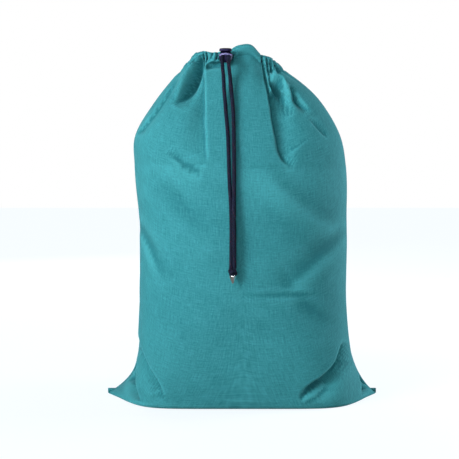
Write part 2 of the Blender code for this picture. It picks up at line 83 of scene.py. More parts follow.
# ---- small numeric helpers ------------------------------------------------------------------
def ease(values: Array, low: float, high: float) -> Array:
    """Smooth step: 0 up to low, 1 from high on.

    Args:
        values: Where it is read.
        low: Where the rise starts.
        high: Where the rise ends.

    Returns:
        The step at each value.
    """
    part = np.clip((values - low) / (high - low), 0.0, 1.0)
    return part * part * (3.0 - 2.0 * part)


def wave(along: Array, length: float, phase: float) -> Array:
    """Sine that repeats every length and starts at a phase."""
    return np.sin(2 * np.pi * along / length + phase)


def signed_power(values: Array, power: float) -> Array:
    """Absolute value raised to a power, with its sign kept."""
    return np.sign(values) * np.abs(values) ** power


def surface_normals(points: Array) -> Array:
    """Unit normals of a grid of points, from the cross product of its two directions.

    Args:
        points: Grid, rows x columns x 3.

    Returns:
        Normals of the same shape.
    """
    down = np.gradient(points, axis=0)
    across = np.gradient(points, axis=1)
    normals = np.cross(across, down)
    return normals / np.maximum(np.linalg.norm(normals, axis=2, keepdims=True), 1e-12)


def smooth_path(points: Array, step: float) -> Array:
    """Catmull-Rom curve through points: each span is the cubic whose end slopes are half the chord
    between the neighbours of its ends.

    Args:
        points: Route points, n x 3.
        step: Distance between the points read from the curve.

    Returns:
        Points along the curve.
    """
    knots = np.asarray(points, dtype=float)
    padded = np.vstack([2 * knots[0] - knots[1], knots, 2 * knots[-1] - knots[-2]])
    spans = []
    for index in range(1, len(padded) - 2):
        before, start, end, after = padded[index - 1:index + 3]
        count = max(2, int(round(float(np.linalg.norm(end - start)) / step)))
        part = np.linspace(0.0, 1.0, count, endpoint=False)[:, None]
        spans.append(0.5 * (2 * start + (end - before) * part
                            + (2 * before - 5 * start + 4 * end - after) * part ** 2
                            + (3 * start - before - 3 * end + after) * part ** 3))
    return np.vstack([*spans, knots[-1:]])


def path_length(points: Array) -> float:
    """Length of the broken line through points."""
    return float(np.linalg.norm(np.diff(points, axis=0), axis=1).sum())


def path_run(points: Array) -> Array:
    """Distance along the broken line through points, at each of them."""
    return np.concatenate([[0.0], np.cumsum(np.linalg.norm(np.diff(points, axis=0), axis=1))])


def path_frame(line: Array, sideways: tuple) -> tuple[Array, Array]:
    """Two unit vectors across a path at each point: sideways with its part along the path taken off,
    and the cross product of the path's direction with that.

    Args:
        line: Points of the path, n x 3.
        sideways: Direction that is never along the path.

    Returns:
        Both vectors at each point.
    """
    tangent = np.gradient(line, axis=0)
    tangent /= np.linalg.norm(tangent, axis=1, keepdims=True)
    first = np.array(sideways) - tangent * (tangent @ np.array(sideways))[:, None]
    first /= np.linalg.norm(first, axis=1, keepdims=True)
    return first, np.cross(tangent, first)


def rings(line: Array, radius: Array, sides: int, sideways: tuple) -> Array:
    """Tube round a path: at each of its points, a circle in the plane of the two vectors across it.

    Args:
        line: Points of the path, n x 3.
        radius: Radius at each point and side, of a shape that broadcasts with n x sides.
        sides: Points of each circle.
        sideways: Direction in which each circle starts.

    Returns:
        Grid of points, n x sides x 3.
    """
    first, second = path_frame(line, sideways)
    angle = 2 * np.pi * np.arange(sides) / sides
    ring = np.cos(angle)[None, :, None] * first[:, None] + np.sin(angle)[None, :, None] * second[:, None]
    return line[:, None] + ring * radius[..., None]


def link(name: str, mesh: bpy.types.Mesh) -> bpy.types.Object:
    """Puts a mesh into the scene at the origin.

    Args:
        name: Piece name.
        mesh: Its mesh.

    Returns:
        The object.
    """
    thing = bpy.data.objects.new(name, mesh)
    bpy.context.scene.collection.objects.link(thing)
    return thing


def make_mesh(name: str, points: Array, quads: Array, uv: Array | None = None) -> bpy.types.Object:
    """Mesh object at the origin from whole arrays.

    Args:
        name: Piece name.
        points: Vertices, n x 3.
        quads: Vertex indices of the faces, m x 4.
        uv: One texture coordinate for each vertex, n x 2.

    Returns:
        The linked object, shaded smooth.
    """
    mesh = bpy.data.meshes.new(name)
    mesh.from_pydata(points.reshape(-1, 3).tolist(), [], quads.tolist())
    if uv is not None:
        layer = mesh.uv_layers.new(name="cloth")
        corners = np.empty(len(mesh.loops), dtype=np.int32)
        mesh.loops.foreach_get("vertex_index", corners)
        layer.data.foreach_set("uv", uv.reshape(-1, 2)[corners].astype(np.float32).ravel())
    mesh.shade_smooth()
    return link(name, mesh)


def grid_quads(rows: int, columns: int, wrap: bool = False) -> Array:
    """Quads of a grid of points, row by row.

    Args:
        rows: Rows of points.
        columns: Points of each row.
        wrap: Whether the last column is joined to the first.

    Returns:
        Vertex indices, one row of four for each quad.
    """
    row = np.arange(rows - 1)[:, None]
    column = np.arange(columns if wrap else columns - 1)[None, :]
    other = (column + 1) % columns
    quads = np.stack([row * columns + column, row * columns + other,
                      (row + 1) * columns + other, (row + 1) * columns + column], axis=2)
    return quads.reshape(-1, 4)


# ---- the bag's outer form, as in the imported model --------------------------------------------
@dataclass(frozen=True)
class Form:
    """Outer form of the filled bag: superellipse sections, two ears and a lifted, gathered mouth."""

    heights: tuple = (0.0, 0.05, 0.15, 0.30, 0.40, 0.45, 0.50, 0.55, 0.5726)
    left: tuple = (0.1775, 0.178, 0.178, 0.179, 0.185, 0.1855, 0.158, 0.117, 0.0950)
    right: tuple = (0.1775, 0.181, 0.181, 0.180, 0.179, 0.171, 0.144, 0.100, 0.0740)
    depth: tuple = (0.128, 0.133, 0.136, 0.136, 0.129, 0.115, 0.088, 0.059, 0.0440)
    power: float = 2.3
    base_power: float = 6.0
    base_fade: float = 0.070
    ear_reach: float = 0.057
    ear_rise_left: float = 0.027
    ear_rise_right: float = 0.040
    ear_half: float = 0.0058
    ear_power: float = 10.0
    ear_fade: float = 0.12
    pinch_power: float = 16.0
    seam_half: float = 0.0006
    mouth_z: float = 0.5726
    drop_from: float = 0.500
    foot_round: float = 0.009
    foot_fade: float = 0.050
    lift_blur: float = 0.0025
    front_lift: tuple = ((-0.079, 0.002), (-0.070, 0.003), (-0.055, -0.001), (-0.0285, 0.0),
                         (-0.020, 0.002), (-0.0159, 0.006), (-0.008, 0.010), (0.004, 0.0123),
                         (0.012, 0.0125), (0.0178, 0.010), (0.0225, 0.006), (0.0275, 0.0005),
                         (0.031, -0.003), (0.036, -0.0055), (0.050, -0.0070), (0.062, -0.0085),
                         (0.074, -0.010))
    back_lift: tuple = ((-0.095, 0.0), (-0.070, -0.004), (-0.010, -0.007), (0.045, -0.010),
                        (0.074, -0.010))

    def section(self, z: Array) -> tuple[Array, Array, Array]:
        """Section of the bag, each size on a cubic Hermite curve through its values at the heights.

        Args:
            z: Heights.

        Returns:
            Half width left, half width right and half depth.
        """
        table = np.array((self.left, self.right, self.depth))
        knots = np.array(self.heights)
        slopes = np.gradient(table, knots, axis=1)
        index = np.clip(np.searchsorted(knots, z) - 1, 0, len(knots) - 2)
        span = knots[index + 1] - knots[index]
        part = (z - knots[index]) / span
        low, high = table[:, index], table[:, index + 1]
        blend = 3 * part ** 2 - 2 * part ** 3
        bend = span * ((part ** 3 - 2 * part ** 2 + part) * slopes[:, index]
                       + (part ** 3 - part ** 2) * slopes[:, index + 1])
        left, right, depth = low + (high - low) * blend + bend
        return left, right, depth

    def mouth_lift(self, x: Array, face: Face) -> Array:
        """How far the casing stands above its level beside the lock.

        Args:
            x: Places across the mouth.
            face: Which panel.

        Returns:
            Heights, the mean of five readings round each place.
        """
        stops = np.array(self.front_lift if face is Face.FRONT else self.back_lift)
        near = x[..., None] + np.linspace(-self.lift_blur, self.lift_blur, 5)
        return np.interp(near, stops[:, 0], stops[:, 1]).mean(axis=-1)

    def wall(self, turn: Array, z: Array, face: Face) -> Array:
        """Points of the wall: turn runs from 0 at the left seam to 1 at the right seam.

        Args:
            turn: Places round the panel.
            z: Heights, of a shape that broadcasts with turn.
            face: Which panel.

        Returns:
            Points, with a last axis of three.
        """
        turn, z = np.broadcast_arrays(turn, z)
        angle = np.pi * (1.0 - turn)
        side = np.where(np.cos(angle) < 0.0, -1.0, 1.0)
        across, along = np.abs(np.cos(angle)), np.abs(np.sin(angle))
        left, right, depth = self.section(z)
        share = np.exp(-z / np.where(side < 0, self.ear_rise_left, self.ear_rise_right))
        half = np.where(side < 0, left, right)
        power = self.power + (self.base_power - self.power) * np.exp(-z / self.base_fade)
        x = side * (half * across ** (2 / power) + self.ear_reach * share * across ** self.ear_power)
        pinch = 1.0 - share * across ** self.pinch_power
        edge = self.seam_half + share * self.ear_half * ease(along, 0.0, self.ear_fade)
        y = edge + (depth - edge) * pinch * along ** (2 / power)
        foot = np.clip(1.0 - z / self.foot_round, 0.0, 1.0)
        y = y - self.foot_round * (1.0 - np.sqrt(1.0 - foot ** 2)) * np.clip(y / self.foot_fade, 0.0, 1.0)
        fade = np.clip((z - self.drop_from) / (self.mouth_z - self.drop_from), 0.0, None)
        return np.stack([x, face.value * y, z + self.mouth_lift(x, face) * fade ** 2], axis=-1)


@dataclass(frozen=True)
class Fold:
    """One crease or ridge of the cloth, drawn on the panel as seen square on.

    Each stop of the path is (x, z, depth, width to the left, width to the right) in millimetres, where
    depth is negative for a crease and left and right are as one goes along the path. The profile across
    it is a bell, exp(-(distance / width) squared), whose two sides may differ, so one side can be a
    sharp edge and the other a soft slope.
    """

    stops: tuple
    smooth_step: float = 0.0025
    reach_widths: float = 3.2

    def push(self, x: Array, z: Array) -> Array:
        """Displacement along the outward normal.

        Args:
            x: Places across the panel, as a grid.
            z: Heights of the same places.

        Returns:
            Displacement at each place, 0 beyond a few widths from the path.
        """
        line = smooth_path(MILLIMETRE * np.array(self.stops), self.smooth_step)
        tangent = np.gradient(line[:, :2], axis=0)
        tangent /= np.maximum(np.linalg.norm(tangent, axis=1, keepdims=True), 1e-9)
        reach = self.reach_widths * line[:, 3:].max()
        near = ((x > line[:, 0].min() - reach) & (x < line[:, 0].max() + reach)
                & (z > line[:, 1].min() - reach) & (z < line[:, 1].max() + reach))
        result = np.zeros_like(x)
        if not near.any():
            return result
        place = np.stack([x[near], z[near]], axis=1)
        offset = place[:, None, :] - line[None, :, :2]
        distance = np.einsum("ijk,ijk->ij", offset, offset)
        nearest = distance.argmin(axis=1)
        rows = np.arange(len(place))
        gap, run = offset[rows, nearest], tangent[nearest]
        to_left = run[:, 0] * gap[:, 1] - run[:, 1] * gap[:, 0]
        width = np.where(to_left > 0, line[nearest, 3], line[nearest, 4])
        bell = np.exp(-distance[rows, nearest] / np.maximum(width, 1e-4) ** 2)
        result[near] = line[nearest, 2] * bell
        return result


@dataclass(frozen=True)
class Gathers:
    """Gathers of the hem: round ridges with narrow creases between them, fading down the panel.

    The height of a gather is the absolute cosine of half its phase, which has round tops and sharp
    bottoms. The phase runs round the mouth with an uneven wavelength.
    """

    wavelength: float
    height: float
    fade: float
    phase: float
    flat: tuple = ()

    def push(self, along: Array, x: Array, below: Array) -> Array:
        """Displacement of the gathers, with slow waves that make their spacing, size and length uneven.

        Args:
            along: Places along the mouth.
            x: The same places across the panel.
            below: Distances below the casing's lower edge.

        Returns:
            Displacement, of the shape that the three broadcast to.
        """
        turn = 2 * np.pi * along / self.wavelength + self.phase
        turn = turn + 1.15 * wave(along, 0.071, 2.1 * self.phase) + 0.55 * wave(along, 0.029, 0.7)
        ridge = np.abs(np.cos(0.5 * turn)) - 0.38
        size = 0.82 + 0.30 * wave(along, 0.047, 1.3 * self.phase)
        reach = self.fade * (1.0 + 0.45 * wave(along, 0.038, self.phase))
        strength = size * np.exp(-(np.clip(below, 0.0, None) / reach) ** 1.15)
        for low, high, soft in self.flat:
            strength = strength * (1.0 - ease(x, low - soft, low) * (1.0 - ease(x, high, high + soft)))
        return self.height * ridge * strength


# ---- the two cloth panels ---------------------------------------------------------------------
@dataclass
class PanelSheet:
    """One panel of the bag as a single sheet of cloth, hem casing and seam allowances included.

    Its columns run from the bottom seam to the hem and are evenly spaced round the body, so one step
    across the grid is one step across the flat cloth. Its rows are the bottom allowance, the base,
    the wall, the casing's outer face, the fold over its top and its inner face down to the stitching.
    """

    form: Form
    face: Face
    gathers: tuple
    folds: tuple
    lumps_seed: float
    columns: int = 256
    cloth_width: float = 0.508
    allowance: float = 0.008
    allowance_end: float = 0.0006  # width of the side allowance over the base and beside the casing
    allowance_foot: float = 0.0035  # height of the bottom allowance's lower row
    end_rows: int = 10  # rows, from the bottom, whose side allowance is that narrow
    seam_lap: float = 0.0010  # how far behind the seam line the front's side allowance lies
    cloth: float = 0.0006
    casing_height: float = 0.0218
    end_lean: float = 0.75
    tunnel_row: int = 6  # row of the casing's outer face beside the middle of the cord
    tunnel_inset: float = 0.0092  # inset of the inner face there
    inner_rows: tuple = (10, 16)  # casing rows over which the gathers become shallower
    edge_columns: int = 5  # columns beside a seam over which the creases fade
    foot_hold: tuple = (0.004, 0.020)  # heights between which the creases set in
    ruffle: tuple = (0.008, 0.020)  # heights on the casing between which its top starts to wave
    ruffle_rise: float = 0.55  # rise of that wave, as a share of the gather's depth
    crest_full: float = 0.00035  # sharpness of a fully marked crest
    points: Array = field(init=False)
    flat_uv: Array = field(init=False)
    crest: Array = field(init=False)
    hem_row: int = field(init=False)
    casing_inset: Array = field(init=False)

    def __post_init__(self) -> None:
        """Builds the grid of points, its flat coordinates and how strongly it is creased."""
        turn = self.even_turns()
        base, wall, casing = self.base_rows(turn), self.wall_rows(turn), self.casing_rows(turn)
        plain = np.concatenate([base, wall, casing])
        self.hem_row = len(base) + len(wall)
        shape = self.creased(plain, len(base))
        shape = self.with_allowances(shape)
        self.points = shape
        length = np.linalg.norm(np.diff(plain, axis=0), axis=2)
        down = np.vstack([np.zeros((1, length.shape[1])), np.cumsum(length, axis=0)])
        across = np.linspace(0.0, self.cloth_width, self.columns)
        grid = np.stack([np.broadcast_to(across, down.shape), down], axis=2)
        left = grid[:, :1] - np.array((self.allowance, 0.0))
        right = grid[:, -1:] + np.array((self.allowance, 0.0))
        self.flat_uv = np.concatenate([left, grid, right], axis=1)

    def even_turns(self) -> Array:
        """Turns of the columns, spaced evenly along the section half way up the body.

        Returns:
            One turn for each column, from 0 to 1.
        """
        fine = np.linspace(0.0, 1.0, 4001)
        run = path_run(self.form.wall(fine, np.array(0.25), self.face))
        return np.interp(np.linspace(0.0, run[-1], self.columns), run, fine)

    def base_rows(self, turn: Array) -> Array:
        """Bottom allowance standing up inside, then the base out to the rim's foot.

        Args:
            turn: Turns of the columns.

        Returns:
            Rows of points, two for the allowance and seven for the base.
        """
        rim = self.form.wall(turn, np.array(0.0), self.face)
        seam = np.stack([rim[:, 0], np.full_like(turn, self.face.value * self.form.seam_half),
                         np.zeros_like(turn)], axis=1)
        allowance = [seam + np.array((0.0, 0.0, up)) for up in (self.allowance, self.allowance_foot)]
        parts = np.array((0.0, 0.06, 0.2, 0.4, 0.6, 0.8, 0.93))
        return np.stack([*allowance, *(seam + (rim - seam) * part for part in parts)])

    def wall_rows(self, turn: Array) -> Array:
        """The wall, with closer rows near the foot and in the gathered shoulder.

        Args:
            turn: Turns of the columns.

        Returns:
            Rows of points from the foot up to the casing.
        """
        z = np.concatenate([np.linspace(0.0, 1.0, 12, endpoint=False) ** 1.6 * 0.030,
                            np.linspace(0.030, 0.110, 26, endpoint=False),
                            np.linspace(0.110, 0.400, 40, endpoint=False),
                            np.linspace(0.400, self.form.mouth_z, 66)])
        return self.form.wall(turn[None, :], z[:, None], self.face)

    def casing_rows(self, turn: Array) -> Array:
        """Hem casing: up the outer face round the cord, over the top and down the inner face.

        The tunnel's section is given by (inset, height) stops on a smooth curve, set off along the
        plan normal of the panel's top edge.

        Args:
            turn: Turns of the columns.

        Returns:
            Rows of points, round the tunnel's section.
        """
        edge = self.form.wall(turn, np.array(self.form.mouth_z), self.face)
        run = np.gradient(edge[:, :2], axis=0)
        outward = np.stack([run[:, 1], -run[:, 0], np.zeros(len(run))], axis=1) * -self.face.value
        outward /= np.linalg.norm(outward, axis=1, keepdims=True)
        top = self.casing_height
        section = smooth_path(np.array([
            (0.0004, 0.0014), (0.0011, 0.0031), (0.0002, 0.0060), (-0.0008, 0.0110), (0.0002, 0.0160),
            (0.0022, top - 0.0022), (0.0042, top), (0.0062, top - 0.0022), (0.0082, 0.0160),
            (0.0092, 0.0115), (0.0070, 0.0065), (0.0030, 0.0034), (0.0026, 0.0006), (0.0030, -0.0020)]),
            0.0017)
        self.casing_inset = section[:, 0]
        lean = self.end_lean * np.abs(outward[:, 0]) ** 1.4
        inset, height = section[:, 0, None], section[:, 1, None]
        inward = inset * np.cos(lean) + height * np.sin(lean)
        upward = height * np.cos(lean) - inset * np.sin(lean) * 0.4
        up = np.array((0.0, 0.0, 1.0))
        return edge[None] - outward[None] * inward[..., None] + up * upward[..., None]

    def creased(self, plain: Array, base_count: int) -> Array:
        """The plain shape pushed along its normals by lumps, folds and gathers.

        Args:
            plain: Grid of the plain shape.
            base_count: Number of rows that belong to the base and stay flat.

        Returns:
            Grid of the same size, slightly smoothed.
        """
        normals = surface_normals(plain) * -self.face.value
        normals[self.hem_row:] = normals[self.hem_row - 1]
        normals[self.hem_row:, :, 2] = 0.0
        normals /= np.maximum(np.linalg.norm(normals, axis=2, keepdims=True), 1e-12)
        x, z = plain[..., 0], plain[..., 2]
        push = self.lumps(x, z)
        for fold in self.folds:
            push = push + fold.push(x, z)
        top = plain[self.hem_row]
        along = path_run(top[:, :2])
        below = np.broadcast_to(top[:, 2][None, :], z.shape) - z
        inner = ease(np.arange(len(plain)) - self.hem_row, *self.inner_rows)[:, None]
        gather = np.zeros_like(x)
        for part in self.gathers:
            gather = gather + part.push(np.broadcast_to(along, z.shape), top[:, 0][None, :], below)
        push = push + gather * (1.0 - 0.45 * inner)
        held = ease(z, *self.foot_hold)
        held[:base_count] = 0.0
        column = np.arange(self.columns)
        last = self.columns - 1
        ends = ease(column, 0, self.edge_columns) * (1 - ease(column, last - self.edge_columns, last))
        shape = plain + normals * (push * held * (0.15 + 0.85 * ends))[..., None]
        shape[..., 2] += self.ruffle_rise * ease(-below, *self.ruffle) * gather
        shape = self.smoothed(shape, base_count)
        self.crest = self.crease_values(shape, normals)
        return shape

    def crease_values(self, shape: Array, normals: Array) -> Array:
        """How far each point stands out from the middle of its neighbours, down and across together.

        Args:
            shape: Grid of points.
            normals: Outward normals of the grid.

        Returns:
            Values from -1 in a sharp crease to 1 on a sharp ridge, with a column more at each side.
        """
        bend = shape[1:-1] - 0.5 * (shape[:-2] + shape[2:])
        bend = np.pad(np.einsum("ijk,ijk->ij", bend, normals[1:-1]), ((1, 1), (0, 0)))
        turn = shape[:, 1:-1] - 0.5 * (shape[:, :-2] + shape[:, 2:])
        turn = np.pad(np.einsum("ijk,ijk->ij", turn, normals[:, 1:-1]), ((0, 0), (1, 1)))
        crest = np.clip((turn + bend) / self.crest_full, -1.0, 1.0)
        return np.concatenate([crest[:, :1], crest, crest[:, -1:]], axis=1)

    def lumps(self, x: Array, z: Array) -> Array:
        """Slow unevenness of the filled bag, a sum of crossed sine waves at three scales.

        Args:
            x: Places across the panel.
            z: Heights of the same places.

        Returns:
            Displacement at each place.
        """
        seed = self.lumps_seed
        slow = np.sin(11.0 * x + 7.0 * z + seed) * np.sin(13.0 * z - 5.0 * x + 2.0 * seed)
        medium = np.sin(31.0 * x - 17.0 * z + 3.0 * seed) * np.sin(27.0 * z + 12.0 * x + seed)
        fine = np.sin(83.0 * x + 31.0 * z + seed) * np.sin(64.0 * z - 29.0 * x + 5.0 * seed)
        return 0.0020 * slow + 0.0009 * medium + 0.00018 * fine

    @staticmethod
    def smoothed(shape: Array, first: int) -> Array:
        """Inner points moved four tenths of the way to the mean of their neighbours.

        Args:
            shape: Grid of points.
            first: Last row that stays as it is.

        Returns:
            New grid of the same size.
        """
        mean = 0.25 * (shape[:-2, 1:-1] + shape[2:, 1:-1] + shape[1:-1, :-2] + shape[1:-1, 2:])
        shape = shape.copy()
        inner = shape[1:-1, 1:-1]
        part = np.where(np.arange(1, len(shape) - 1) > first, 0.4, 0.0)[:, None, None]
        shape[1:-1, 1:-1] = inner + (mean - inner) * part
        return shape

    def with_allowances(self, shape: Array) -> Array:
        """Adds one column inside each side seam: the sewn allowance, turned into the bag.

        The front's allowances lie just behind the seam line, so the two sheets cross there and no slit
        is left along the seam.

        Args:
            shape: Grid of points without the allowances.

        Returns:
            Grid with a column more at each side.
        """
        sides = []
        for column, sign in ((0, 1.0), (-1, -1.0)):
            seam = shape[:, column]
            along = np.gradient(seam, axis=0)
            along /= np.maximum(np.linalg.norm(along, axis=1, keepdims=True), 1e-12)
            inward = np.stack([sign * np.abs(along[:, 2]), np.zeros(len(seam)),
                               -sign * along[:, 0] * np.sign(along[:, 2])], axis=1)
            width = np.full(len(seam), self.allowance)
            width[:self.end_rows] = self.allowance_end
            width[self.hem_row:] = self.allowance_end
            turned = seam + inward * width[:, None]
            turned[:, 2] = np.maximum(turned[:, 2], 0.0)
            if self.face is Face.FRONT:
                turned[:, 1] = self.seam_lap
            sides.append(turned)
        return np.concatenate([sides[0][:, None], shape, sides[1][:, None]], axis=1)

    def build(self, name: str) -> bpy.types.Object:
        """Mesh of the sheet with its cloth thickness, flat coordinates and crest values.

        Args:
            name: Piece name.

        Returns:
            The sheet, with its thickness as a live modifier.
        """
        rows, columns = self.points.shape[:2]
        quads = grid_quads(rows, columns)
        if self.face is Face.BACK:
            quads = quads[:, ::-1]
        sheet = make_mesh(name, self.points, quads, self.flat_uv)
        crest = sheet.data.attributes.new("crest", "FLOAT", "POINT")
        crest.data.foreach_set("value", self.crest.astype(np.float32).ravel())
        wall = sheet.modifiers.new("cloth", "SOLIDIFY")
        wall.thickness = self.cloth
        wall.offset = -1.0
        return sheet

    def tunnel_line(self) -> Array:
        """Middle of the casing's tunnel at the cord's height: half way between its two faces, evened
        out along the mouth.

        Returns:
            Points from the left seam to the right.
        """
        high = self.points[self.hem_row + self.tunnel_row, 1:-1]
        inner = self.points[self.hem_row:, 1:-1]
        row = int(np.argmin(np.abs(self.casing_inset - self.tunnel_inset))) + 1
        middle = 0.5 * (high + inner[min(row, len(inner) - 1)])
        for _ in range(30):
            middle[1:-1] = 0.25 * middle[:-2] + 0.5 * middle[1:-1] + 0.25 * middle[2:]
        return middle

    def cloth_length(self) -> float:
        """Length of the cloth from its bottom edge to the end of its hem, measured half way across."""
        return path_length(self.points[:, self.points.shape[1] // 2])


